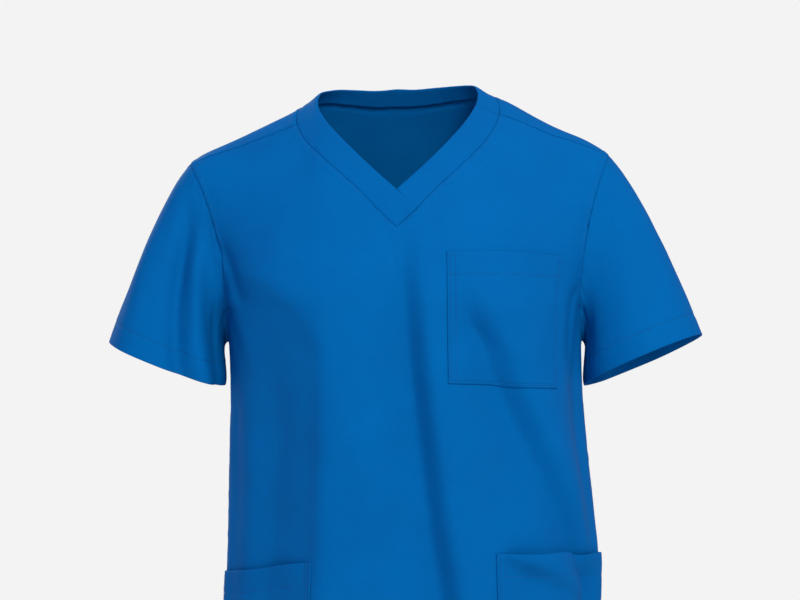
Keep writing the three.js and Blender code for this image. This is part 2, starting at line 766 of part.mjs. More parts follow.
// A patch pocket is cut out of a second layer over the front, made from the front's own points moved out.
function patchPocket(front, { corners, gape }) {
  const cutter = new THREE.ExtrudeGeometry(pocketOutline(corners), { depth: CUT_DEPTH, bevelEnabled: false });
  cutter.rotateX(Math.PI / 2).translate(0, CREST_Y, 0);
  const start = CLOTH / 2 + POCKET_GAP;
  const mouth = bodyPoint(corners[0].u, corners[0].v).z;
  const layer = front.movedOut((point) => gape * smoothstep(1 - (mouth - point.z) / MOUTH_DEPTH));
  return geometryOf(solidOf(layer.wall(start, start + CLOTH)).intersect(solidOf(cutter)));
}

function named(name, geometry, finish = BLUE) {
  geometry.computeVertexNormals();
  const mesh = new THREE.Mesh(geometry, new THREE.MeshStandardMaterial(finish));
  mesh.name = name;
  return mesh;
}

const sleeves = Object.keys(SLEEVES).map((name) => [name, sleeveSheet(name)]);
const front = bodyPanel(frontNeckLine(1), frontArmhole(), 1);
const back = bodyPanel(backNeckLine(1), backArmhole(), -1);

const scrubTop = new THREE.Group();
scrubTop.name = "scrub_top";
scrubTop.add(named("front", front.wall(-CLOTH / 2, CLOTH / 2)));
scrubTop.add(named("back", back.wall(-CLOTH / 2, CLOTH / 2)));
for (const [name, sleeve] of sleeves) scrubTop.add(named(name, sleeve.wall(-CLOTH / 2, CLOTH / 2)));
scrubTop.add(named("neckband_back", backBand().wall(-BAND_CLOTH / 2, BAND_CLOTH / 2), TRIM));
scrubTop.add(named("neckband_right", frontBand(true).wall(-BAND_CLOTH / 2, BAND_CLOTH / 2), TRIM));
scrubTop.add(named("neckband_left", frontBand(false).wall(-BAND_CLOTH / 2, BAND_CLOTH / 2), TRIM));
for (const [name, pocket] of Object.entries(POCKETS)) {
  scrubTop.add(named(name, patchPocket(front, pocket), TRIM));
}

export default scrubTop;
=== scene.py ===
"""A short-sleeved V-neck scrub top in royal blue twill, filled out as it is worn, with nobody in it.

Sizes are in millimetres and are made metres where a mesh is built. Z is up, X runs towards the wearer's
left, and the front faces -Y. The body is one surface over a flat pattern: u runs across from the centre
line to the side seam, and v runs down from the crest of the shoulder, positive on the front.
"""

import math

import bmesh
import bpy
import numpy as np
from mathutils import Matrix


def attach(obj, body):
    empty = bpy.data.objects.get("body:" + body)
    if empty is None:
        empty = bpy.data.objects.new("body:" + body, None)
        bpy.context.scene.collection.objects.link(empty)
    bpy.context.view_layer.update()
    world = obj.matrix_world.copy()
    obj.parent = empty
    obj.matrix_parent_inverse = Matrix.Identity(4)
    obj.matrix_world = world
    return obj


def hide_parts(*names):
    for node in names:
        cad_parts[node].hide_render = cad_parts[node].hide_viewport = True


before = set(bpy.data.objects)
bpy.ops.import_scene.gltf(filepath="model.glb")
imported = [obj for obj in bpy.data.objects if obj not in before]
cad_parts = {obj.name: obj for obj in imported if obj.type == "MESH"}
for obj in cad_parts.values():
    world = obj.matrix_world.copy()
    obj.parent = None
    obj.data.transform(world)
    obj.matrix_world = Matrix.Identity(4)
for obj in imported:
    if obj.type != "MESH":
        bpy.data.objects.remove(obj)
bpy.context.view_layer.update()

MM = 0.001
FINE = 1.0

# The cloth: its outer face stands FACE outside the middle of the wall, and a turned edge is at TURNED.
FACE = 0.6
CLOTH = 0.5
TURNED = -0.8
POCKET_FACE = 2.3
HEM = 25.0
WELD = 0.02

# Rows of stitches: how far in from an edge or a seam they run, and how far out of the cloth they lie.
POCKET_ROW = 3.5
POCKET_SECOND_ROW = 9.5
SEAM_ROW = 6.0
NECK_ROW = 2.6
SHOULDER_ROW = (0.6, -4.5)
THREAD_LIFT = 0.35

# The cut of the body, on the pattern.
HALF_CUT = 280.0
CHEST_DROP = 300.0
UNDERARM_DROP = 338.0
HEM_DROP = 785.0
HEM_SIDE_FALL = 12.0
NECK_POINT = 88.5
SHOULDER_POINT = 240.0
V_DROP = 173.0
BACK_NECK_DROP = 66.0
BAND_AT_SHOULDER = 22.0
BAND_AT_V = 24.0
BAND_AT_BACK = 26.0
BAND_BULGE = 5.0
SEAM_FORWARD_AT_NECK = 52.0
SEAM_FORWARD_AT_SLEEVE = 30.0
LAST_NECK_STEP = 0.86

# How it hangs.
CHEST_HEIGHT = -250.0
CREST_Y = 6.0
CENTRE_BLEND = 80.0
CENTRE_X = -4.0
LEAN = 0.05
LEAN_DEPTH = 250.0
CHEST_PULL = 0.8
SECTION_POWER = 2.35


def table(columns, *rows):
    """Rows of numbers under named columns, as one array a column."""
    return dict(zip(columns.split(), np.array(rows, float).T))


# The line of the shoulder crest: its place across, its height on the wearer's right and left, how steeply
# the cloth falls forward of it, and how far it keeps to that way.
CREST = table(
    "u x right left fall pull",
    (0, 0, 18, 22, 0.5, 0.45),
    (60, 60, 8, 13, 0.5, 0.45),
    (89, 89, -5, 2, 0.45, 0.45),
    (103, 103, -16, -6, 0.4, 0.45),
    (127, 127, -29, -15, 0.35, 0.48),
    (172, 172, -51, -39, 0.25, 0.58),
    (240, 240, -85, -75, 0.1, 0.9),
    (280, 266, -124, -114, 0.1, 1),
)

# Horizontal sections of the body: the reach of each side seam, and of the front and the back.
SECTIONS = table(
    "z right left front back",
    (-250, 197, 207, 149, 122),
    (-340, 194, 208, 147, 116),
    (-470, 196, 219, 140, 104),
    (-560, 199, 224, 137, 104),
    (-760, 208, 232, 137, 111),
)

# Folds on the pattern: each runs from (u0, v0) to (u1, v1), bows sideways, falls away over below and above
# to its two sides, and stands out by height, or in where that is negative.
FOLD = "u0 v0 u1 v1 bow below above height"
FRONT_FOLDS = table(
    FOLD,
    (-82, 345, -98, 760, 4, 15, 60, 8),
    (-166, 350, -172, 760, 0, 60, 56, -24),
    (-186, 234, -80, 340, 12, 22, 44, 6),
    (6, 270, 64, 760, -6, 36, 13, -13),
    (31, 270, 88, 760, -6, 13, 40, 10),
    (73, 300, 226, 640, -4, 28, 14, -11),
    (99, 290, 258, 640, -4, 14, 38, 9),
    (240, 330, 226, 700, 0, 30, 16, -9),
    (-244, 350, -236, 720, 0, 16, 22, -4),
)
BACK_FOLDS = table(
    FOLD,
    (-40, -250, -70, -760, 0, 30, 36, 8),
    (-96, -330, -120, -760, 0, 26, 26, -8),
    (-170, -300, -172, -740, 0, 26, 26, 6),
    (22, -330, 10, -760, 0, 24, 26, -7),
    (84, -250, 96, -760, 0, 30, 32, 8),
    (150, -330, 150, -740, 0, 24, 26, -7),
    (214, -330, 204, -740, 0, 22, 22, 5),
)

# Smaller creases that lie on the folds.
FRONT_CREASES = table(
    FOLD,
    (74, 316, 128, 372, 4, 14, 11, -3.4),
    (-36, 570, -30, 700, 0, 14, 14, -2.2),
    (-250, 290, -226, 350, 4, 9, 14, -2.4),
    (-228, 196, -202, 288, 0, 9, 15, -4.2),
    (-232, 268, -196, 380, 8, 12, 18, 1.8),
    (232, 262, 214, 350, -6, 16, 9, -3.0),
    (206, 300, 196, 400, -6, 14, 12, 1.6),
    (-30, 420, -44, 700, 6, 16, 16, 1.4),
    (-60, 470, -66, 720, 0, 12, 14, -1.2),
    (120, 600, 196, 760, 0, 10, 14, -2.0),
    (-6, 226, -2, 262, 0, 5, 6, -1.0),
)
BACK_CREASES = table(
    FOLD,
    (-236, -250, -206, -360, 6, 12, 16, -2.4),
    (236, -250, 204, -360, -6, 16, 12, -2.4),
    (-130, -150, -40, -190, 14, 22, 26, 1.8),
    (130, -150, 40, -190, -14, 22, 26, 1.8),
    (-60, -420, -90, -640, 8, 14, 14, 1.4),
    (120, -400, 128, -620, -8, 14, 14, -1.4),
    (-206, -230, -96, -560, 14, 12, 30, 5.2),
    (-222, -250, -122, -600, 14, 26, 12, -4.6),
    (206, -230, 104, -520, -14, 30, 12, 5.0),
    (150, -480, 200, -700, 6, 12, 26, 4.4),
    (-30, -470, 24, -720, 8, 12, 24, 4.2),
)
FOLD_FADE = 0.22
SIDE_FADE = 34.0

# The sleeves: the middle of each cuff, the half widths of its opening, its slant, and its back's fall.
SLEEVES = {
    "sleeve_right": dict(
        side=-1.0,
        middle=(-267, 4, -314),
        outward=71,
        forward=56,
        lean=0.38,
        back_drop=-0.08,
        folds=table(
            "turn0 turn1 begin width height",
            (0.155, 0.3, 0.05, 0.036, -11),
            (0.22, 0.365, 0.05, 0.04, 9),
            (0.37, 0.44, 0.1, 0.048, -6),
            (0.04, 0.14, 0.3, 0.05, 4),
            (0.78, 0.64, 0.2, 0.045, -7),
            (0.9, 0.8, 0.3, 0.05, 4),
        ),
    ),
    "sleeve_left": dict(
        side=1.0,
        middle=(279.5, 4, -310),
        outward=73.5,
        forward=57,
        lean=0.42,
        back_drop=0.17,
        folds=table(
            "turn0 turn1 begin width height",
            (0.4, 0.45, 0.15, 0.045, -2),
            (0.2, 0.27, 0.3, 0.06, 3),
            (0.76, 0.62, 0.2, 0.045, -6),
            (0.92, 0.82, 0.3, 0.05, -4),
        ),
    ),
}
FOLD_GROWTH = 0.3
ACROSS_SEAM = 0.5
TO_CUFF = 0.5
SIDEWAYS = 0.1
SIDEWAYS_UNDER_ARM = 0.35
ARMHOLE_PULL = 0.8
CUFF_PULL = 0.7
LOOP_POINTS = 23
UNDERARM_AT = 12
ARMHOLE_LENGTH = 520
SLEEVE_ROUND = 430

# The pockets, by their corners on the pattern: the top of the edge nearer the centre line, and on round.
# The middle of a mouth stands out by gape.
POCKETS = {
    "chest_pocket": dict(gape=0.6, corners=((53, 235), (190, 222), (179, 392), (53, 382))),
    "pocket_right": dict(gape=2.4, corners=((-98, 573), (-280, 592), (-280, 772), (-98, 757))),
    "pocket_left": dict(gape=3.2, corners=((98, 573), (280, 592), (280, 772), (98, 757))),
}

# How each pocket's own cloth folds out from the panel beneath it.
POCKET_FOLDS = {
    "chest_pocket": table(FOLD, (140, 250, 165, 300, 0, 16, 10, 0.8)),
    "pocket_right": table(FOLD, (-120, 580, -215, 640, 0, 40, 12, 3.0)),
    "pocket_left": table(FOLD, (112, 574, 210, 631, 3, 11, 26, 9.0)),
}


def smoothstep(t):
    """0 below 0 and 1 above 1, with a level start and end between them."""
    t = np.clip(t, 0, 1)
    return t * t * (3 - 2 * t)


def bell(distance, width):
    """1 at no distance, falling away over width: exp(-(distance / width)^2)."""
    return np.exp(-((distance / width) ** 2))


def hermite(start, leaving, end, arriving, t):
    """The cubic from start to end that leaves and arrives along the two given vectors."""
    t2, t3 = t * t, t * t * t
    return (
        (2 * t3 - 3 * t2 + 1) * start
        + (t3 - 2 * t2 + t) * leaving
        + (3 * t2 - 2 * t3) * end
        + (t3 - t2) * arriving
    )


def along(rows, key, place, column):
    """A column's value at a place along another: a cubic from row to row, whose slope at each row is the
    mean of the slopes on its two sides."""
    x, y = rows[key], rows[column]
    if x[-1] < x[0]:
        x, y = x[::-1], y[::-1]
    secant = np.diff(y) / np.diff(x)
    slope = np.concatenate([secant[:1], (secant[1:] + secant[:-1]) / 2, secant[-1:]])
    i = np.clip(np.searchsorted(x, place) - 1, 0, len(x) - 2)
    span = x[i + 1] - x[i]
    t = np.clip((place - x[i]) / span, 0, 1)
    return hermite(y[i], span * slope[i], y[i + 1], span * slope[i + 1], t)


def vector(x, y, z):
    """Three arrays of coordinates as one array of points."""
    return np.stack(np.broadcast_arrays(x, y, z), axis=-1)


def unit(a):
    """Each vector at length 1."""
    return a / np.maximum(np.linalg.norm(a, axis=-1, keepdims=True), 1e-9)


def quarter_section():
    """A quarter of the superellipse x = sin^(2/p), y = cos^(2/p), against its share of length, where it is
    1.45 times as wide as deep."""
    angle = np.linspace(0, math.pi / 2, 1601)
    x = np.sin(angle) ** (2 / SECTION_POWER)
    y = np.cos(angle).clip(0) ** (2 / SECTION_POWER)
    length = np.concatenate([[0], np.cumsum(np.hypot(1.45 * np.diff(x), np.diff(y)))])
    return length / length[-1], x, y


QUARTER = quarter_section()


def section_point(u, forward, z):
    """The smooth body at a height below the chest: the superellipse of that height's reach and depth,
    moved to the centre line's place and leaning to the wearer's right further down."""
    share = np.minimum(1, np.abs(u) / HALF_CUT)
    wide = np.interp(share, QUARTER[0], QUARTER[1])
    deep = np.interp(share, QUARTER[0], QUARTER[2])
    reach = np.where(u < 0, along(SECTIONS, "z", z, "right"), along(SECTIONS, "z", z, "left"))
    depth = np.where(forward > 0, along(SECTIONS, "z", z, "front"), along(SECTIONS, "z", z, "back"))
    x = np.sign(u) * reach * wide + CENTRE_X * (1 - np.abs(u) / HALF_CUT)
    lean = LEAN * smoothstep((CHEST_HEIGHT - z) / LEAN_DEPTH)
    return vector(x, CREST_Y - forward * depth * deep, z + lean * x)


def smooth_body(u, v):
    """The smooth body at points of the pattern. Above the chest, a cubic goes from the shoulder crest to the
    chest's section, and below it the cloth hangs through the sections."""
    u, v = np.broadcast_arrays(np.asarray(u, float), np.asarray(v, float))
    forward = np.where(v >= 0, 1.0, -1.0)
    drop, away = np.abs(v), np.abs(u)
    low = section_point(u, forward, CHEST_HEIGHT - np.maximum(drop - CHEST_DROP, 0))
    left = smoothstep((u + CENTRE_BLEND) / (2 * CENTRE_BLEND))
    level = u * np.tanh(u / 15)
    height = along(CREST, "u", level, "right") * (1 - left) + along(CREST, "u", level, "left") * left
    x = np.sign(u) * along(CREST, "u", away, "x") + CENTRE_X * (1 - away / HALF_CUT)
    start = vector(x, CREST_Y, height)
    end = section_point(u, forward, np.full_like(u, CHEST_HEIGHT))
    arriving = section_point(u, forward, np.full_like(u, CHEST_HEIGHT - 1)) - end
    distance = np.linalg.norm(end - start, axis=-1)
    leaving = vector(0 * u, -forward, -forward * along(CREST, "u", away, "fall"))
    high = hermite(
        start,
        leaving * (distance * along(CREST, "u", away, "pull"))[..., None],
        end,
        arriving * (distance * CHEST_PULL)[..., None],
        np.minimum(drop / CHEST_DROP, 1)[..., None],
    )
    return np.where((drop > CHEST_DROP)[..., None], low, high)


def fold_height(u, v, folds):
    """The sum of the folds: each is its height, times a bell of the distance from its bowed line, wider to
    one side than to the other, times a fade at both ends."""
    columns = [folds[c].reshape((-1,) + (1,) * np.ndim(u)) for c in folds]
    u0, v0, u1, v1, bow, below, above, height = columns
    run_u, run_v = u1 - u0, v1 - v0
    length = np.hypot(run_u, run_v)
    t = ((u - u0) * run_u + (v - v0) * run_v) / length**2
    square = (u - u0) * np.abs(run_v) - (v - v0) * run_u * np.sign(run_v)
    away = square / length - bow * 4 * t * (1 - t)
    start = smoothstep((t + FOLD_FADE) / (2 * FOLD_FADE))
    end = smoothstep((1 + FOLD_FADE - t) / (2 * FOLD_FADE))
    return (height * start * end * bell(away, np.where(away < 0, below, above))).sum(axis=0)


def body_folds(u, v):
    """The folds and creases of the front or the back, fading out at the side seam."""
    front = fold_height(u, v, FRONT_FOLDS) + fold_height(u, v, FRONT_CREASES)
    back = fold_height(u, v, BACK_FOLDS) + fold_height(u, v, BACK_CREASES)
    return np.where(v >= 0, front, back) * smoothstep((HALF_CUT - np.abs(u)) / SIDE_FADE)


def outward(surface, a, b, step, flip):
    """The outward direction of a surface of two parameters: across times down, from points a step away."""
    across = surface(a + step, b) - surface(a - step, b)
    down = surface(a, b + step) - surface(a, b - step)
    return unit(flip * np.cross(across, down))


def body_point(u, v):
    """The body with its folds: the smooth body moved out by them."""
    inside = np.sign(u) * np.minimum(np.abs(u), HALF_CUT - 0.6)
    return smooth_body(u, v) + outward(smooth_body, inside, v, 0.5, -1) * body_folds(u, v)[..., None]


def body_outward(u, v):
    """The outward direction of the body with its folds."""
    return outward(body_point, np.sign(u) * np.minimum(np.abs(u), HALF_CUT - 1.5), v, 1, -1)


def ripple(u, v, wavelength, seed, waves=22):
    """Uneven ripples: a sum of level waves in all directions, with wavelengths about the given one."""
    rng = np.random.default_rng(seed)
    way = rng.uniform(0, 2 * math.pi, waves)
    number = 2 * math.pi / (wavelength * rng.uniform(0.7, 1.6, waves))
    phase = rng.uniform(0, 2 * math.pi, waves)
    shape = (-1,) + (1,) * np.ndim(u)
    x, y, phase = (a.reshape(shape) for a in (number * np.cos(way), number * np.sin(way), phase))
    return np.cos(x * u + y * v + phase).sum(axis=0) / math.sqrt(waves)


def bezier(points, t):
    """A cubic curve on the pattern, by its four control points."""
    a, b, c, d = (np.array(p, float) for p in points)
    t = np.asarray(t, float)[..., None]
    s = 1 - t
    return s**3 * a + 3 * s * s * t * b + 3 * s * t * t * c + t**3 * d


def bezier_way(points, t):
    """The unit direction of a cubic curve."""
    a, b, c, d = (np.array(p, float) for p in points)
    t = np.asarray(t, float)[..., None]
    s = 1 - t
    return unit(s * s * (b - a) + 2 * s * t * (c - b) + t * t * (d - c))


NECK_EDGE = ((NECK_POINT, 0), (NECK_POINT + 14, 70), (NECK_POINT - 27, V_DROP - 51), (0, V_DROP))
BACK_NECK_EDGE = (
    (NECK_POINT, 0),
    (NECK_POINT - 2, -36),
    (NECK_POINT - 36, -BACK_NECK_DROP),
    (0, -BACK_NECK_DROP),
)
ARMHOLE_FRONT = (
    (SHOULDER_POINT, 0),
    (SHOULDER_POINT - 4, 110),
    (SHOULDER_POINT - 28, UNDERARM_DROP - 68),
    (HALF_CUT, UNDERARM_DROP),
)
ARMHOLE_BACK = (
    (SHOULDER_POINT, 0),
    (SHOULDER_POINT - 2, -90),
    (SHOULDER_POINT - 8, -UNDERARM_DROP + 30),
    (HALF_CUT, -UNDERARM_DROP),
)


def neck_point(curve, t, share):
    """A point of the neck's free edge at share 0, or of its seam at share 1, a band's width outside it."""
    t = np.asarray(t, float)
    is_front = curve is NECK_EDGE
    way = bezier_way(curve, t)
    bulge = BAND_BULGE * 4 * t * (1 - t) if is_front else 0
    width = BAND_AT_SHOULDER + ((BAND_AT_V if is_front else BAND_AT_BACK) - BAND_AT_SHOULDER) * t + bulge
    turn = 1 if is_front else -1
    outside = np.stack([turn * way[..., 1], -turn * way[..., 0]], axis=-1)
    return bezier(curve, t) + outside * (width * share)[..., None]


def where_forward(point_at, forward):
    """Where a curve from the shoulder crest reaches a given distance forward of it."""
    t = np.arange(0, 1, 0.002)
    return t[np.argmax(point_at(t)[:, 1] >= forward)]


def line_through(points, count):
    """The broken line through some points, at count places evenly along its length."""
    points = np.asarray(points, float)
    length = np.concatenate([[0], np.cumsum(np.linalg.norm(np.diff(points, axis=0), axis=1))])
    place = np.linspace(0, length[-1], count)
    return np.stack([np.interp(place, length, points[:, k]) for k in range(points.shape[1])], axis=1)


def v_corner():
    """Where the two neck seams cross on the centre line, and where the lap's edge meets a neck seam."""
    way = bezier_way(NECK_EDGE, 1.0)
    crossing = V_DROP + BAND_AT_V / way[1]
    run = (crossing - V_DROP) / (2 * way[1])
    return np.array([0, crossing]), np.array([-run * way[0], V_DROP + run * way[1]])


CROSSING, LAP_END = v_corner()


def front_neck_line(share, steps):
    """The front of the neck from the shoulder seam to the centre line, as the edge or as the seam."""
    at_seam = where_forward(lambda t: neck_point(NECK_EDGE, t, share), SEAM_FORWARD_AT_NECK)
    upper = neck_point(NECK_EDGE, np.linspace(at_seam, LAST_NECK_STEP, 5 * steps + 1), share)
    if share > 0:
        lower = line_through([upper[-1], LAP_END, CROSSING], 2 * steps + 1)
    else:
        lower = bezier(NECK_EDGE, np.linspace(LAST_NECK_STEP, 1, 2 * steps + 1))
    line = np.concatenate([upper, lower[1:]])
    for _ in range(3 * steps):
        line[1:-1] = (line[:-2] + 2 * line[1:-1] + line[2:]) / 4
    return line


def back_neck_line(share, steps):
    """The back of the neck from the shoulder seam over the crest to the centre line."""
    at_seam = where_forward(lambda t: neck_point(NECK_EDGE, t, share), SEAM_FORWARD_AT_NECK)
    forward = neck_point(NECK_EDGE, np.linspace(at_seam, 0, 2 * steps + 1), share)
    behind = neck_point(BACK_NECK_EDGE, np.linspace(0, 1, 6 * steps + 1), share)
    behind[-1, 0] = 0
    return np.concatenate([forward, behind[1:]])


ARMHOLE_AT_SEAM = where_forward(lambda t: bezier(ARMHOLE_FRONT, t), SEAM_FORWARD_AT_SLEEVE)


def front_armhole(steps):
    """The armhole from the shoulder seam down the front."""
    return bezier(ARMHOLE_FRONT, np.linspace(ARMHOLE_AT_SEAM, 1, 11 * steps + 1))


def back_armhole(steps):
    """The armhole from the shoulder seam over the crest and down the back."""
    forward = bezier(ARMHOLE_FRONT, np.linspace(ARMHOLE_AT_SEAM, 0, steps + 1))
    behind = bezier(ARMHOLE_BACK, np.linspace(0, 1, 11 * steps + 1))
    return np.concatenate([forward, behind[1:]])


def distance_to(points, line):
    """How far points of the pattern are from a broken line."""
    best = np.full(points.shape[:-1], 1e9)
    for a, b in zip(line[:-1], line[1:]):
        run = b - a
        t = np.clip(((points - a) @ run) / max(run @ run, 1e-9), 0, 1)
        best = np.minimum(best, np.linalg.norm(points - a - t[..., None] * run, axis=-1))
    return best


def mirrored(line):
    """A line of the pattern on the wearer's other side."""
    return line * np.array([-1, 1])


# Meshes.


def placed(name, mesh, material):
    """A mesh as an object of the scene, shaded smooth."""
    mesh.polygons.foreach_set("use_smooth", np.ones(len(mesh.polygons), dtype=bool))
    mesh.materials.append(material)
    thing = bpy.data.objects.new(name, mesh)
    bpy.context.scene.collection.objects.link(thing)
    return thing


def piece(name, grids, material):
    """One sheet of cloth from one or more grids. A grid has points, the outward direction of its outer
    side, its place on the pattern, and how near each point is to a seam and to a row of stitches."""
    vertices, quads, pattern, sewn, groove = [], [], [], [], []
    start = 0
    for g in grids:
        rows, columns = g["points"].shape[:2]
        index = start + np.arange(rows * columns).reshape(rows, columns)
        q = np.stack([index[:-1, :-1], index[1:, :-1], index[1:, 1:], index[:-1, 1:]], axis=-1)
        p = g["points"]
        normal = np.cross(p[1:, :-1] - p[:-1, :-1], p[:-1, 1:] - p[:-1, :-1])
        if (normal * g["out"][:-1, :-1]).sum() < 0:
            q = q[..., ::-1]
        vertices.append(p.reshape(-1, 3))
        quads.append(q.reshape(-1, 4))
        pattern.append(np.broadcast_to(g["pattern"], (rows, columns, 2)).reshape(-1, 2))
        sewn.append(np.broadcast_to(g["sewn"], (rows, columns)).ravel())
        groove.append(np.broadcast_to(g["groove"], (rows, columns)).ravel())
        start += rows * columns
    vertices, quads, pattern = (np.concatenate(a) for a in (vertices, quads, pattern))
    mesh = bpy.data.meshes.new(name)
    mesh.vertices.add(len(vertices))
    mesh.vertices.foreach_set("co", (vertices * MM).astype(np.float32).ravel())
    mesh.loops.add(quads.size)
    mesh.loops.foreach_set("vertex_index", quads.astype(np.int32).ravel())
    mesh.polygons.add(len(quads))
    mesh.polygons.foreach_set("loop_start", np.arange(0, quads.size, 4, dtype=np.int32))
    mesh.update(calc_edges=True)
    on_pattern = (pattern[quads.ravel()] * MM).astype(np.float32)
    mesh.uv_layers.new(name="pattern").data.foreach_set("uv", on_pattern.ravel())
    # sewn and groove are the masks for the painted shade that the twill puts in seams and along rows of
    # stitches.
    for label, values in (("sewn", sewn), ("groove", groove)):
        each = np.concatenate(values).astype(np.float32)
        mesh.attributes.new(label, "FLOAT", "POINT").data.foreach_set("value", each)
    made = bmesh.new()
    made.from_mesh(mesh)
    bmesh.ops.remove_doubles(made, verts=made.verts, dist=WELD * MM)
    made.to_mesh(mesh)
    made.free()
    mesh.validate()
    thing = placed(name, mesh, material)
    wall = thing.modifiers.new("wall", "SOLIDIFY")
    wall.thickness = CLOTH * MM
    wall.offset = -1
    return thing


def stitches(name, rows, material, pitch=3.2, length=2.5, radius=0.2, rise=0.22):
    """Rows of stitches. A row is a line of points on the cloth and their outward directions. Each stitch
    is a short thread of four sides, highest and thickest at its middle: along it, rise and most of radius
    are times 1 - t^2."""
    t = np.array([-1.0, -0.45, 0.45, 1.0])
    angle = np.arange(4) * math.pi / 2
    centres, ways, outs = [], [], []
    for points, out in rows:
        steps = np.linalg.norm(np.diff(points, axis=0), axis=1)
        run = np.concatenate([[0], np.cumsum(steps)])
        place = np.arange(pitch / 2, run[-1] - pitch / 2, pitch)

        def at(distance, values):
            """The row's values a distance along it."""
            return np.stack([np.interp(distance, run, values[:, k]) for k in range(3)], axis=1)

        centres.append(at(place, points))
        ways.append(unit(at(place + 1, points) - at(place - 1, points)))
        outs.append(unit(at(place, out)))
    centre, way, out = (np.concatenate(a)[:, None, :] for a in (centres, ways, outs))
    side = unit(np.cross(way, out))
    swell = (1 - t * t)[None, :, None]
    middle = centre + way * (t[None, :, None] * length / 2) + out * (rise * swell - 0.05)
    round_it = (
        out[:, :, None, :] * np.cos(angle)[None, None, :, None]
        + side[:, :, None, :] * np.sin(angle)[None, None, :, None]
    )
    vertices = middle[:, :, None, :] + round_it * (radius * (0.35 + 0.65 * swell))[..., None]
    count = len(centre)
    index = np.arange(count * 16).reshape(count, 4, 4)
    after = np.roll(index, -1, axis=2)
    sides = np.stack([index[:, :-1], index[:, 1:], after[:, 1:], after[:, :-1]], axis=-1).reshape(-1, 4)
    caps = np.concatenate([index[:, 0, :], index[:, -1, ::-1]])
    mesh = bpy.data.meshes.new(name)
    mesh.from_pydata((vertices * MM).reshape(-1, 3), [], np.concatenate([sides, caps]))
    made = bmesh.new()
    made.from_mesh(mesh)
    bmesh.ops.recalc_face_normals(made, faces=made.faces)
    made.to_mesh(mesh)
    made.free()
    return placed(name, mesh, material)


# Sewing relief.


def ditch(distance, depth=0.33, width=1.1):
    """How far the cloth dips into a seam."""
    return -depth * bell(distance, width)


def allowance(distance, height=0.45, width=7.0):
    """The ridge that the turned-in edge makes beside a seam, out to its row of stitches."""
    return height * smoothstep(distance / 3) * smoothstep((width + 1.2 - distance) / 2)


def puckers(u, v, distance, height=0.22, reach=9.0, seed=3):
    """The small uneven waves that sewing draws in the cloth beside a seam."""
    return height * ripple(u, v, 13, seed) * bell(distance, reach)


def drape(u, v):
    """The slight unevenness of the whole cloth."""
    return 0.55 * ripple(u, v, 120, 5) + 0.16 * ripple(u, v, 42, 7)


def clustered(count, ends=0.6):
    """count + 1 places from 0 to 1, closer together at both ends."""
    t = np.linspace(0, 1, count + 1)
    return t - ends * np.sin(2 * math.pi * t) / (2 * math.pi)


# The turned edge of a hem, as distance in from its edge and offset from the middle of the wall.
TURN = table(
    "inset offset",
    (1.1, FACE),
    (0.45, FACE - 0.12),
    (0.1, 0.2),
    (0.0, -0.15),
    (0.12, -0.5),
    (0.5, TURNED + 0.1),
    (1.2, TURNED),
    (HEM * 0.34, TURNED),
    (HEM * 0.67, TURNED),
    (HEM, TURNED + 0.1),
)


def half_panel(neck, armhole, side_steps, forward):
    """Half a panel of the pattern: straight rows from the neck and the centre line out to the armhole and
    the side seam, the last of them curved as the hem is."""
    rows = len(armhole) - 1 + side_steps
    down = np.linspace(neck[-1, 1], forward * HEM_DROP, rows - len(neck) + 2)[1:]
    inner = np.concatenate([neck, np.stack([np.full_like(down, neck[-1, 0]), down], axis=1)])
    side = np.linspace(armhole[-1, 1], forward * (HEM_DROP + HEM_SIDE_FALL), side_steps + 1)[1:]
    outer = np.concatenate([armhole, np.stack([np.full_like(side, HALF_CUT), side], axis=1)])
    s = clustered(round(72 * FINE))[None, :, None]
    grid = inner[:, None, :] * (1 - s) + outer[:, None, :] * s
    fall = (np.arange(rows + 1) / rows)[:, None] ** 4
    grid[..., 1] += forward * HEM_SIDE_FALL * (s[..., 0] ** 2 - s[..., 0]) * fall
    return grid


def with_turned_edge(grid, forward):
    """Adds the turned edge at the hem: each row lies inset from the last one, by TURN, on the pattern."""
    edge = grid[-1:]
    turned = edge - np.array([0, forward]) * TURN["inset"][:, None, None]
    kept = grid[np.abs(grid[:, 0, 1]) < np.abs(edge[0, 0, 1]) - 2]
    offset = np.concatenate([np.full(len(kept), FACE), TURN["offset"]])
    facing = np.concatenate([np.ones(len(kept)), np.where(TURN["offset"] < -0.2, -1, 1)])
    return np.concatenate([kept, turned]), offset[:, None], facing[:, None, None]


def panel(name, neck, armhole, forward, seams, ridges, stitched, material):
    """A body panel. Its outer face dips at its seams, stands out beside those in ridges, puckers along
    both, and is grooved along its rows of stitches."""
    half, offset, facing = with_turned_edge(half_panel(neck, armhole, round(130 * FINE), forward), forward)
    grids = []
    for mirror in (False, True):
        grid = mirrored(half) if mirror else half
        flip = mirrored if mirror else (lambda line: line)
        u, v = grid[..., 0], grid[..., 1]
        to_seam = [distance_to(grid, flip(line)) for line in seams]
        nearest = np.minimum.reduce(to_seam)
        groove = np.minimum.reduce([distance_to(grid, flip(line)) for line in stitched])
        sharp = 1 - 0.6 * bell(to_seam[0], 4)
        relief = ditch(nearest) * sharp + puckers(u, v, nearest) + drape(u, v)
        relief += sum(allowance(to_seam[k]) for k in ridges)
        relief += puckers(u, v, groove, 0.12, 6, 11)
        out = body_outward(u, v)
        lift = offset + relief * np.where(offset < 0, 0.6, 1)
        # sewn is the mask for painted shade in the seams' ditches, weaker near the neck seam.
        grids.append(
            dict(
                points=body_point(u, v) + out * lift[..., None],
                out=out * facing,
                pattern=grid,
                sewn=bell(nearest, 2.0) * sharp,
                groove=groove,
            )
        )
    return piece(name, grids, material)


def on_body(line, lift):
    """A line of the pattern as points on the cloth and their outward directions."""
    out = body_outward(line[:, 0], line[:, 1])
    return body_point(line[:, 0], line[:, 1]) + out * lift, out


def both_sides(lines):
    """Lines of the wearer's left half, and the same lines on the other side."""
    return [f for line in lines for f in (line, mirrored(line))]


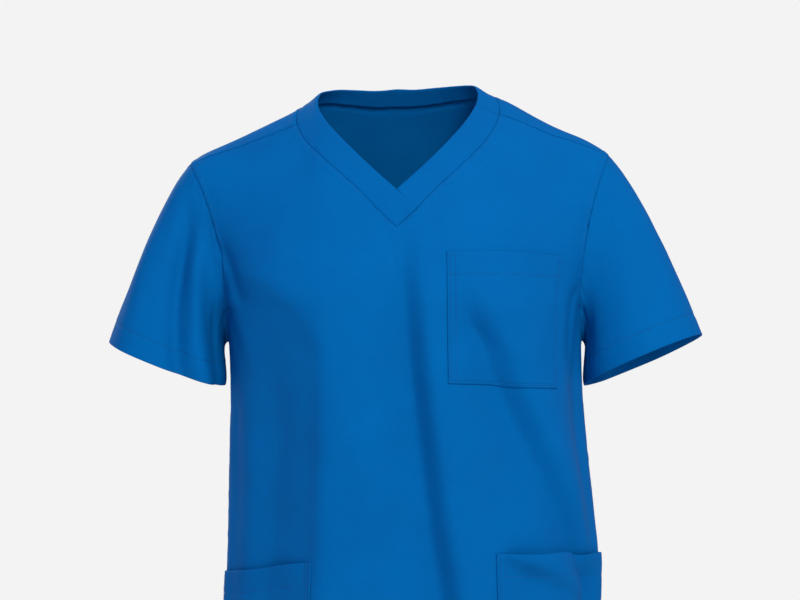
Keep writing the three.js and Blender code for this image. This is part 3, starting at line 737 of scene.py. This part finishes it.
def inset_line(line, distance):
    """A line of the pattern moved square to its run."""
    way = unit(np.gradient(line, axis=0))
    return line + distance * np.stack([way[:, 1], -way[:, 0]], axis=1)


# Neckband.

# Its fold, from the seam over the outer face and round the free edge to the inside: the place between the
# edge at 0 and the seam at 1, and the offset from the middle of the wall.
BAND_FOLD = table(
    "across offset",
    (1.0, 0.0),
    (0.985, 0.4),
    (0.95, 0.68),
    (0.88, 0.85),
    (0.75, 0.9),
    (0.6, 0.9),
    (0.45, 0.9),
    (0.3, 0.95),
    (0.17, 1.0),
    (0.09, 0.95),
    (0.04, 0.8),
    (0.012, 0.45),
    (0.0, 0.0),
    (0.012, -0.45),
    (0.04, -0.85),
    (0.1, -1.0),
    (0.3, -1.0),
    (0.6, -1.0),
    (0.9, -1.0),
    (1.0, -1.0),
)


def band(name, edge, seam, mirror, lift, material):
    """A folded strip round the neck: points between the free edge and the seam, by the fold's share across,
    moved out by its offset."""
    across = BAND_FOLD["across"][:, None, None]
    offset = BAND_FOLD["offset"][:, None]
    if mirror:
        edge, seam = mirrored(edge), mirrored(seam)
    grid = edge * (1 - across) + seam * across
    u, v = grid[..., 0], grid[..., 1]
    out = body_outward(u, v)
    near = distance_to(grid, seam)
    relief = puckers(u, v, near, 0.18, 8, 17) + 0.12 * ripple(u, v, 30, 19) + drape(u, v)
    # sewn is the mask for painted shade in the band's seam.
    strip = dict(
        points=body_point(u, v) + out * (offset + relief + lift)[..., None],
        out=out * np.where(offset < -0.2, -1, 1)[..., None],
        pattern=grid,
        sewn=bell(near, 2.0),
        groove=np.minimum(near + 0.5, 9),
    )
    return piece(name, [strip], material)


# Sleeves.


def round_loop(values, turn):
    """A smooth closed curve through values at even turns, each span a cubic whose slopes are the mean of
    its neighbours'."""
    count = len(values)
    place = np.mod(turn, 1) * count
    i = np.floor(place).astype(int) % count
    t = (place - np.floor(place))[..., None]
    a, b, c, d = (values[(i + k) % count] for k in (-1, 0, 1, 2))
    return hermite(b, (c - a) / 2, c, (d - b) / 2, t)


def loop_pattern(turn):
    """The armhole on the pattern: from the crest down the front to the underarm, and up the back."""
    place = np.mod(turn, 1) * LOOP_POINTS
    front_t = np.where(
        place < 1,
        place * ARMHOLE_AT_SEAM,
        ARMHOLE_AT_SEAM + (1 - ARMHOLE_AT_SEAM) * (place - 1) / (UNDERARM_AT - 1),
    )
    front = bezier(ARMHOLE_FRONT, np.clip(front_t, 0, 1))
    back = bezier(ARMHOLE_BACK, np.clip((LOOP_POINTS - place) / (LOOP_POINTS - UNDERARM_AT), 0, 1))
    return np.where((place < UNDERARM_AT)[..., None], front, back)


def sleeve_surface(side, middle, outward_by, forward, lean, back_drop):
    """The smooth sleeve over turn and share: a cubic from the armhole to the cuff's oval, leaving partly
    across the seam, partly straight for the cuff and partly sideways."""
    turns = np.arange(LOOP_POINTS) / LOOP_POINTS
    loop = loop_pattern(turns) * np.array([side, 1])
    loop_points = body_point(loop[:, 0], loop[:, 1])
    edge = np.roll(loop_points, -1, axis=0) - np.roll(loop_points, 1, axis=0)
    across = unit(np.cross(edge, body_outward(loop[:, 0], loop[:, 1]))) * -side
    axis = unit(np.array([side * lean, 0, -1]))
    outer_edge = unit(np.array([side, 0, lean]))
    front_edge = unit(np.array([0, -1, back_drop]))

    def surface(turn, share):
        turn, share = np.broadcast_arrays(np.asarray(turn, float), np.asarray(share, float))
        pattern = loop_pattern(turn) * np.array([side, 1])
        start = body_point(pattern[..., 0], pattern[..., 1])
        angle = (np.mod(turn, 1) * 2 * math.pi)[..., None]
        end = np.array(middle) + outer_edge * outward_by * np.cos(angle)
        end = end + front_edge * forward * np.sin(angle)
        chord = end - start
        length = np.linalg.norm(chord, axis=-1, keepdims=True)
        under = (1 - np.cos(angle)) / 2
        leaving = (
            unit(round_loop(across, turn)) * ACROSS_SEAM
            + unit(chord) * TO_CUFF
            + np.array([side, 0, 0]) * (SIDEWAYS + SIDEWAYS_UNDER_ARM * under)
        )
        away, arriving = unit(leaving) * length * ARMHOLE_PULL, axis * length * CUFF_PULL
        return hermite(start, away, end, arriving, share[..., None])

    return surface


def sleeve_folds(folds, turn, share):
    """The sleeve's folds: each a bell round its line from a turn at the armhole to one at the cuff."""
    shape = (-1,) + (1,) * np.ndim(turn)
    turn0, turn1, begin, width, height = (folds[c].reshape(shape) for c in folds)
    away = np.abs(np.mod(turn, 1) - (turn0 + (turn1 - turn0) * share))
    away = np.minimum(away, 1 - away)
    return (height * smoothstep((share - begin) / FOLD_GROWTH) * bell(away, width)).sum(axis=0)


def sleeve(name, material, thread):
    """A sleeve with its armhole seam, its underarm seam and its turned cuff with a row of stitches."""
    cut = SLEEVES[name]
    side = cut["side"]
    smooth = sleeve_surface(*(cut[key] for key in "side middle outward forward lean back_drop".split()))

    def surface(turn, share):
        inside = np.clip(share, 0.02, 0.98)
        out = outward(smooth, turn, inside, 0.004, side)
        return smooth(turn, share) + out * sleeve_folds(cut["folds"], turn, share)[..., None]

    turn = np.linspace(0, 1, round(184 * FINE) + 1)[None, :]
    fine = np.linspace(0, 1, 81)[:, None]
    dense = surface(turn + 0 * fine, fine + 0 * turn)
    steps = np.linalg.norm(np.diff(dense, axis=0), axis=-1)
    to_cuff = np.concatenate([np.cumsum(steps[::-1], axis=0)[::-1], 0 * steps[:1]])

    def share_at(distance):
        """The share of the way where a thread is that far from the cuff."""
        below = (to_cuff > distance).sum(axis=0) - 1
        below = np.clip(below, 0, len(fine) - 2)
        column = np.arange(to_cuff.shape[1])
        a, b = to_cuff[below, column], to_cuff[below + 1, column]
        return (below + (a - distance) / np.maximum(a - b, 1e-9)) / (len(fine) - 1)

    above = clustered(round(64 * FINE), 0.55)[:-1]
    top_of_hem = share_at(HEM + 6)
    near_cuff = np.array([HEM + 6, HEM + 3, HEM + 1, HEM, HEM - 1, HEM - 3, 18, 14, 10, 6, 3])
    rows = [top_of_hem * a for a in above]
    rows += [share_at(d) for d in near_cuff]
    rows += [share_at(d) for d in TURN["inset"]]
    share = np.array(rows)
    offset = np.concatenate([np.full(len(above) + len(near_cuff), FACE), TURN["offset"]])[:, None]
    facing = np.where(offset < -0.2, -1.0, 1.0)[..., None]
    turn = turn + 0 * share
    out = outward(surface, turn, np.clip(share, 0.01, 0.99), 0.004, side)
    from_cuff = np.concatenate([np.full(len(above), 40.0), near_cuff, TURN["inset"]])[:, None]
    run = to_cuff[0][None, :] * share
    to_underarm = np.abs(turn - UNDERARM_AT / LOOP_POINTS) * ARMHOLE_LENGTH
    around = turn * SLEEVE_ROUND
    nearest = np.minimum(run, to_underarm)
    groove = np.abs(from_cuff - HEM) + 0 * turn
    relief = ditch(nearest) + puckers(around, run, run, 0.35, 13, 23 + int(side))
    relief += puckers(around, run, groove, 0.16, 9, 31) + 0.9 * drape(around + 900 * side, run)
    relief -= 0.35 * bell(groove, 1.6)
    lift = offset + relief * np.where(offset < 0, 0.6, 1)
    points = surface(turn, share) + out * lift[..., None]
    points[:, -1] = points[:, 0]
    pattern = np.stack([around * side, run], axis=-1)
    # sewn is the mask for painted shade in the armhole and underarm seams.
    tube = dict(points=points, out=out * facing, pattern=pattern, sewn=bell(nearest, 2.2), groove=groove)
    cloth = piece(name + "_cloth", [tube], material)
    row = len(above) + list(near_cuff).index(HEM)
    threads = stitches(name + "_stitches", [(points[row] + out[row] * 0.15, out[row])], thread)
    return cloth, threads


# Pockets.


def pocket(name, material, thread):
    """A patch pocket over the front. across runs 0 to 1 from the edge nearer the centre line, and down runs
    0 at the mouth to 1 at the bottom. Its sewn edges roll down to the front, and its mouth is turned."""
    corners = [np.array(c, float) for c in POCKETS[name]["corners"]]
    gape = POCKETS[name]["gape"]
    to_side_seam = abs(corners[1][0]) == HALF_CUT

    def at(across, down):
        """A place in the pocket as a point of the pattern."""
        across, down = across[..., None], down[..., None]
        top = corners[0] * (1 - across) + corners[1] * across
        bottom = corners[3] * (1 - across) + corners[2] * across
        return top * (1 - down) + bottom * down

    width = np.linalg.norm(corners[1] - corners[0])
    height = np.linalg.norm(corners[3] - corners[0])

    def proud(across, down):
        """How far the cloth stands out beyond a plain patch, at its mouth and along its folds."""
        u, v = np.moveaxis(at(across, down), -1, 0)
        middle = smoothstep(across / 0.3) * smoothstep((1 - across) / 0.3)
        mouth = gape * middle * smoothstep(1 - down * height / 30)
        held = np.minimum(np.minimum(across, 1 - across) * width, (1 - down) * height)
        return mouth + fold_height(u, v, POCKET_FOLDS[name]) * smoothstep(held / 18)

    a = clustered(round(60 * FINE), 0.85)
    below = clustered(round(64 * FINE), 0.75)[1:]
    inset = TURN["inset"][::-1]
    turned = TURN["offset"][::-1]
    first = (inset[-1] + 1) / height
    rows = np.concatenate([inset / height, first + below * (1 - first)])
    offset = np.concatenate([turned - FACE, np.zeros(len(below))])[:, None]
    facing = np.where(offset < -0.8, -1.0, 1.0)[..., None]
    across, down = np.meshgrid(a, rows)
    grid = at(across, down)
    u, v = grid[..., 0], grid[..., 1]
    to_inner, to_outer = across * width, (1 - across) * width
    to_bottom, to_mouth = (1 - down) * height, down * height
    sewn_edge = np.minimum(np.minimum(to_inner, to_outer), to_bottom)
    roll = (POCKET_FACE - 0.5 - FACE) * (1 - np.sqrt(1 - (1 - np.clip(sewn_edge / 1.6, 0, 1)) ** 2))
    outer_row = SEAM_ROW if to_side_seam else POCKET_ROW
    second = np.abs(to_inner - POCKET_SECOND_ROW)
    if to_side_seam:
        second = np.where(to_mouth < HEM, second, 9)
    rows_at = [np.abs(to_mouth - HEM), np.abs(to_inner - POCKET_ROW), np.abs(to_bottom - POCKET_ROW)]
    groove = np.minimum.reduce(rows_at + [np.abs(to_outer - outer_row), second])
    relief = proud(across, down) + puckers(u, v, groove, 0.2, 7, 41) + 0.5 * drape(u + 500, v)
    relief -= 0.3 * bell(groove, 1.4)
    relief += 0.5 * smoothstep(sewn_edge / 20) * (1 + 0.5 * ripple(u, v, 60, 43))
    out = body_outward(u, v)
    lift = POCKET_FACE + drape(u, v) + offset + relief * smoothstep(sewn_edge / 1.2) - roll
    points = body_point(u, v) + out * lift[..., None]
    # sewn is the mask for painted shade along the pocket's sewn edges, where they roll down to the panel.
    sewn = 0.8 * bell(sewn_edge, 1.0)
    patch = dict(points=points, out=out * facing, pattern=grid, sewn=sewn, groove=groove)
    cloth = piece(name + "_cloth", [patch], material)

    def thread_row(from_across, from_down, to_across, to_down):
        """A straight row of stitches on the pocket, as points and their outward directions."""
        across = np.linspace(from_across, to_across, 60)
        down = np.linspace(from_down, to_down, 60)
        line = at(across, down)
        points, out = on_body(line, POCKET_FACE + THREAD_LIFT)
        extra = proud(across, down) + drape(line[:, 0], line[:, 1])
        return points + out * extra[:, None], out

    inner, outer, beside = POCKET_ROW / width, 1 - outer_row / width, POCKET_SECOND_ROW / width
    hem, bottom = HEM / height, 1 - POCKET_ROW / height
    lines = [
        (inner, 0.01, inner, bottom),
        (inner, bottom, outer, bottom),
        (0.01, hem, 0.99, hem),
        (beside, 0.01, beside, hem if to_side_seam else bottom),
        (outer, bottom, outer, 0.01),
    ]
    threads = stitches(name + "_stitches", [thread_row(*line) for line in lines], thread)
    return cloth, threads


# Finishes.


class Value:
    """A socket of a shader that Python sums work on: each operator adds one Math node."""

    def __init__(self, tree, socket):
        self.tree = tree
        self.socket = socket

    def math(self, operation, *others, clamp=False):
        """A Math node on the value and others."""
        node = self.tree.nodes.new("ShaderNodeMath")
        node.operation = operation
        node.use_clamp = clamp
        for slot, other in zip(node.inputs, (self, *others)):
            if isinstance(other, Value):
                self.tree.links.new(other.socket, slot)
            else:
                slot.default_value = other
        return Value(self.tree, node.outputs[0])

    def __add__(self, other):
        return self.math("ADD", other)

    __radd__ = __add__

    def __mul__(self, other):
        return self.math("MULTIPLY", other)

    __rmul__ = __mul__

    def __sub__(self, other):
        return self.math("SUBTRACT", other)

    def __rsub__(self, other):
        return (self * -1) + other

    def sine(self):
        return self.math("SINE")

    def kept(self):
        """The value, held between 0 and 1."""
        return self.math("ADD", 0.0, clamp=True)


class Finish:
    """A material being made."""

    def __init__(self, name):
        self.material = bpy.data.materials.new(name)
        self.material.use_nodes = True
        self.tree = self.material.node_tree
        self.tree.nodes.clear()

    def node(self, kind, settings, sockets, output=0):
        """Adds a node: its settings come first, then the values or links of its sockets."""
        node = self.tree.nodes.new("ShaderNode" + kind)
        for key, value in settings.items():
            setattr(node, key, value)
        for key, value in sockets.items():
            slot = node.inputs[key]
            if isinstance(value, Value):
                self.tree.links.new(value.socket, slot)
            else:
                slot.default_value = value
        return Value(self.tree, node.outputs[output])

    def between(self, share, dark, light):
        """A colour from dark at share 0 to light at share 1."""
        sockets = {"Factor": share, 6: (*dark, 1), 7: (*light, 1)}
        return self.node("Mix", {"data_type": "RGBA"}, sockets, output=2)

    def finished(self, shader):
        """The material, with the shader as its surface."""
        end = self.tree.nodes.new("ShaderNodeOutputMaterial")
        self.tree.links.new(shader.socket, end.inputs["Surface"])
        return self.material


def twill(name, light, dark, tone):
    """Woven twill: fine diagonal ribs, slightly thicker yarns here and there, soft clouds of colour, a
    groove along each row of stitches, and painted shade that darkens the colour in each seam and along each
    row of stitches."""
    f = Finish(name)
    place = f.node("UVMap", {"uv_map": "pattern"}, {})
    x = f.node("SeparateXYZ", {}, {"Vector": place}, output=0)
    y = f.node("SeparateXYZ", {}, {"Vector": place}, output=1)
    rib = ((x * 0.82 + y * 0.57) * (2 * math.pi / 0.00062)).sine()
    yarns = f.node("Mapping", {}, {"Vector": place, "Scale": (1500, 120, 1)})
    slub = f.node("TexNoise", {}, {"Vector": yarns, "Scale": 1.0, "Detail": 2.0})
    cross = f.node("Mapping", {}, {"Vector": place, "Scale": (140, 1700, 1)})
    weft = f.node("TexNoise", {}, {"Vector": cross, "Scale": 1.0, "Detail": 2.0})
    cloud = f.node("TexNoise", {}, {"Vector": place, "Scale": 16.0, "Detail": 3.0})
    fuzz = f.node("TexNoise", {}, {"Vector": place, "Scale": 900.0, "Detail": 2.0})
    # sewn and groove say how near a seam and a row of stitches are: both darken the colour below as painted
    # shade, and groove also makes a bump.
    sewn = f.node("Attribute", {"attribute_name": "sewn"}, {}, output=2)
    away = f.node("Attribute", {"attribute_name": "groove"}, {}, output=2)
    groove = (1 - away * 0.55).kept()
    tint = (tone + (slub - 0.5) * 0.3 + (weft - 0.5) * 0.22 + (cloud - 0.5) * 0.4 + rib * 0.03).kept()
    # Painted shade: the colour is darkened in the seams' ditches and along the rows of stitches, where shade
    # falls.
    shade = (tint - sewn * 0.06 - groove * 0.03).kept()
    height = rib * 0.006 + slub * 0.03 + weft * 0.025 + fuzz * 0.03 - groove * groove * 0.12
    bump = f.node("Bump", {}, {"Strength": 0.6, "Distance": MM, "Height": height})
    shader = f.node(
        "BsdfPrincipled",
        {},
        {
            "Base Color": f.between(shade, dark, light),
            "Roughness": slub * 0.1 + 0.74,
            "Specular IOR Level": 0.06,
            "Specular Tint": (0.2, 0.6, 1.0, 1),
            "Normal": bump,
        },
    )
    return f.finished(shader)


def thread_finish(name, light, dark):
    """Twisted sewing thread: fine slanting plies in two tones."""
    f = Finish(name)
    place = f.node("TexCoord", {}, {}, output=3)
    ply = f.node("TexNoise", {}, {"Vector": place, "Scale": 1800.0, "Detail": 1.0})
    bump = f.node("Bump", {}, {"Strength": 0.4, "Distance": MM, "Height": ply * 0.1})
    shader = f.node(
        "BsdfPrincipled",
        {},
        {
            "Base Color": f.between(ply, dark, light),
            "Roughness": ply * 0.1 + 0.5,
            "Specular IOR Level": 0.35,
            "Normal": bump,
        },
    )
    return f.finished(shader)


def floor_finish(name):
    """A matt pale floor, seen from above only."""
    f = Finish(name)
    place = f.node("TexCoord", {}, {}, output=3)
    grain = f.node("TexNoise", {}, {"Vector": place, "Scale": 40.0, "Detail": 3.0})
    colour = f.between(grain, (0.78, 0.82, 0.755), (0.8, 0.84, 0.775))
    shader = f.node("BsdfPrincipled", {}, {"Base Color": colour, "Roughness": grain * 0.05 + 0.8})
    clear = f.node("BsdfTransparent", {}, {})
    below = f.node("NewGeometry", {}, {}, output=6)
    return f.finished(f.node("MixShader", {}, {0: below, 1: shader, 2: clear}))


BLUE = (0.0, 0.112, 0.37)
NAVY = (0.0015, 0.06, 0.225)
cloth = twill("royal_blue_twill", BLUE, NAVY, 0.72)
trim = twill("royal_blue_twill_doubled", BLUE, NAVY, 0.66)
thread = thread_finish("blue_thread", (0.0, 0.125, 0.4), (0.0, 0.095, 0.32))

R = round(10 * FINE)
front_neck = front_neck_line(1, R)
front_edge = front_neck_line(0, R)
back_neck = back_neck_line(1, R)
back_edge = back_neck_line(0, R)
armhole_f = front_armhole(R)
armhole_b = back_armhole(R)
shoulder = np.stack([back_neck[0], armhole_b[0]])
side_f = np.array([[HALF_CUT, UNDERARM_DROP], [HALF_CUT, HEM_DROP + HEM_SIDE_FALL]])
side_b = side_f * np.array([1, -1])


def hem_line(forward, inset):
    """The hem's curve on the pattern, or a line that far above it, from side seam to side seam."""
    s = np.linspace(-1, 1, 121)
    v = HEM_DROP - inset + HEM_SIDE_FALL * s * s
    return np.stack([s * HALF_CUT, forward * v], axis=1)


neck_stitch_f = inset_line(front_neck, NECK_ROW)
neck_stitch_b = inset_line(back_neck, -NECK_ROW)
armhole_stitch_f = inset_line(armhole_f, -SEAM_ROW)
armhole_stitch_b = inset_line(armhole_b, SEAM_ROW)
shoulder_stitch = line_through(shoulder + np.array(SHOULDER_ROW), 40)
side_stitch_b = line_through(side_b - np.array([SEAM_ROW, 0]), 150)

made = {}
made["front"] = panel(
    "front_cloth",
    front_neck,
    armhole_f,
    1,
    [front_neck, shoulder, armhole_f, side_f],
    [0, 2],
    [neck_stitch_f, armhole_stitch_f, hem_line(1, HEM)],
    cloth,
)
made["back"] = panel(
    "back_cloth",
    back_neck,
    armhole_b,
    -1,
    [back_neck, shoulder, armhole_b, side_b],
    [0, 1, 2, 3],
    [neck_stitch_b, shoulder_stitch, armhole_stitch_b, side_stitch_b, hem_line(-1, HEM)],
    cloth,
)


def sewn_rows(lines):
    """Rows of stitches along lines of the pattern, at the height that the cloth has there."""
    rows = []
    for line in lines:
        points, out = on_body(line, FACE + THREAD_LIFT)
        rows.append((points + out * drape(line[:, 0], line[:, 1])[:, None], out))
    return rows


front_rows = both_sides([neck_stitch_f, armhole_stitch_f]) + [hem_line(1, HEM)]
back_rows = both_sides([neck_stitch_b, shoulder_stitch, armhole_stitch_b, side_stitch_b])
back_rows += [hem_line(-1, HEM)]
threads = {
    "front": stitches("front_stitches", sewn_rows(front_rows), thread),
    "back": stitches("back_stitches", sewn_rows(back_rows), thread),
}
for name in SLEEVES:
    made[name], threads[name] = sleeve(name, cloth, thread)
for name in POCKETS:
    made[name], threads[name] = pocket(name, trim, thread)

lap_t = np.linspace(0, 0.97, 3 * R)[1:, None]
vee = np.array([0, V_DROP])
mirror_lap = mirrored(LAP_END)
right_edge = np.concatenate([front_edge, vee + (mirror_lap - vee) * lap_t])
right_seam = np.concatenate([front_neck, CROSSING + (mirror_lap - CROSSING) * lap_t])
over_left = 1.1 * smoothstep((np.arange(len(right_edge)) - len(front_edge) * 0.93) / (3 * R))
made["neckband_right"] = band("neckband_right_cloth", right_edge, right_seam, True, over_left[None], trim)
left_keep = front_neck[:, 0] > LAP_END[0] * 0.8
left_seam = line_through(front_neck[left_keep], len(front_edge))
made["neckband_left"] = band("neckband_left_cloth", front_edge, left_seam, False, 0, trim)
whole_edge = np.concatenate([mirrored(back_edge)[:-1], back_edge[::-1]])
whole_seam = np.concatenate([mirrored(back_neck)[:-1], back_neck[::-1]])
made["neckband_back"] = band("neckband_back_cloth", whole_edge, whole_seam, False, 0, trim)

# Each piece's flat cut: width, length and share of that rectangle, then how it is held and its finish.
# The loop below uses only the names, to attach each piece and its stitches to the root and hide the part of
# that name.
CUT = {
    "front": (0.56, 0.78, 0.86, "hung", "cloth"),
    "back": (0.56, 0.86, 0.9, "hung", "cloth"),
    "sleeve_right": (0.5, 0.255, 0.58, "hung", "cloth"),
    "sleeve_left": (0.5, 0.255, 0.58, "hung", "cloth"),
    "neckband_back": (0.052, 0.31, 0.9, "folded", "trim"),
    "neckband_right": (0.056, 0.226, 0.96, "folded", "trim"),
    "neckband_left": (0.056, 0.195, 0.955, "folded", "trim"),
    "chest_pocket": (0.135, 0.185, 0.98, "laid", "trim"),
    "pocket_right": (0.185, 0.21, 0.98, "laid", "trim"),
    "pocket_left": (0.185, 0.21, 0.98, "laid", "trim"),
}
for name, (width, length, share, held, slot) in CUT.items():
    thing = made[name]
    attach(thing, "root")
    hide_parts(name)
    sewn = [threads[name]] if name in threads else []
    for t in sewn:
        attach(t, "root")

# The room: a pale floor far below, a pale sky, a soft light on the front and another on the back.
FLOOR = -1.45
bpy.ops.mesh.primitive_circle_add(vertices=96, radius=4.5, fill_type="TRIFAN", location=(0, 0, 0))
floor = bpy.context.object
floor.name = "floor"
for vertex in floor.data.vertices:
    vertex.co.z = FLOOR
floor.data.materials.append(floor_finish("pale_floor"))

world = bpy.data.worlds.new("studio")
bpy.context.scene.world = world
world.use_nodes = True
BACKDROP = (0.896, 0.896, 0.896, 1)
FILL = (0.58, 0.5, 0.65, 1)
sky = world.node_tree.nodes["Background"]
seen = world.node_tree.nodes.new("ShaderNodeLightPath")
tone = world.node_tree.nodes.new("ShaderNodeMix")
tone.data_type = "RGBA"
tone.inputs[6].default_value = FILL
tone.inputs[7].default_value = BACKDROP
world.node_tree.links.new(seen.outputs["Is Camera Ray"], tone.inputs[0])
world.node_tree.links.new(tone.outputs[2], sky.inputs[0])
sky.inputs[1].default_value = 1


def soft_light(name, place, target, size, power, tint):
    """A square soft light at a place, facing a target."""
    data = bpy.data.lights.new(name, "AREA")
    data.size = size
    data.energy = power
    data.color = tint
    light = bpy.data.objects.new(name, data)
    light.location = place
    way = np.array(target, float) - np.array(place, float)
    light.rotation_euler = (
        math.acos(-way[2] / np.linalg.norm(way)),
        0,
        math.atan2(way[1], way[0]) - math.pi / 2,
    )
    bpy.context.scene.collection.objects.link(light)


soft_light("key", (1.0, -3.1, 1.95), (0, 0, -0.35), 1.3, 122, (0.9, 1.08, 0.9))
soft_light("back", (-2.1, 2.9, 1.3), (0, 0, -0.4), 1.3, 72, (0.9, 1.08, 0.9))

bpy.context.scene.view_settings.view_transform = "Standard"

# The camera: a sensor as wide as SENSOR, a picture 800 pixels wide, and 2266 of them to the focal length.
SENSOR = 36
camera_data = bpy.data.cameras.new("camera")
camera_data.lens = SENSOR * 2266 / 800
camera_data.sensor_width = SENSOR
camera = bpy.data.objects.new("camera", camera_data)
camera.location = (0, -2.6, -0.241)
camera.rotation_euler = (math.pi / 2, 0, 0)
bpy.context.scene.collection.objects.link(camera)
bpy.context.scene.camera = camera
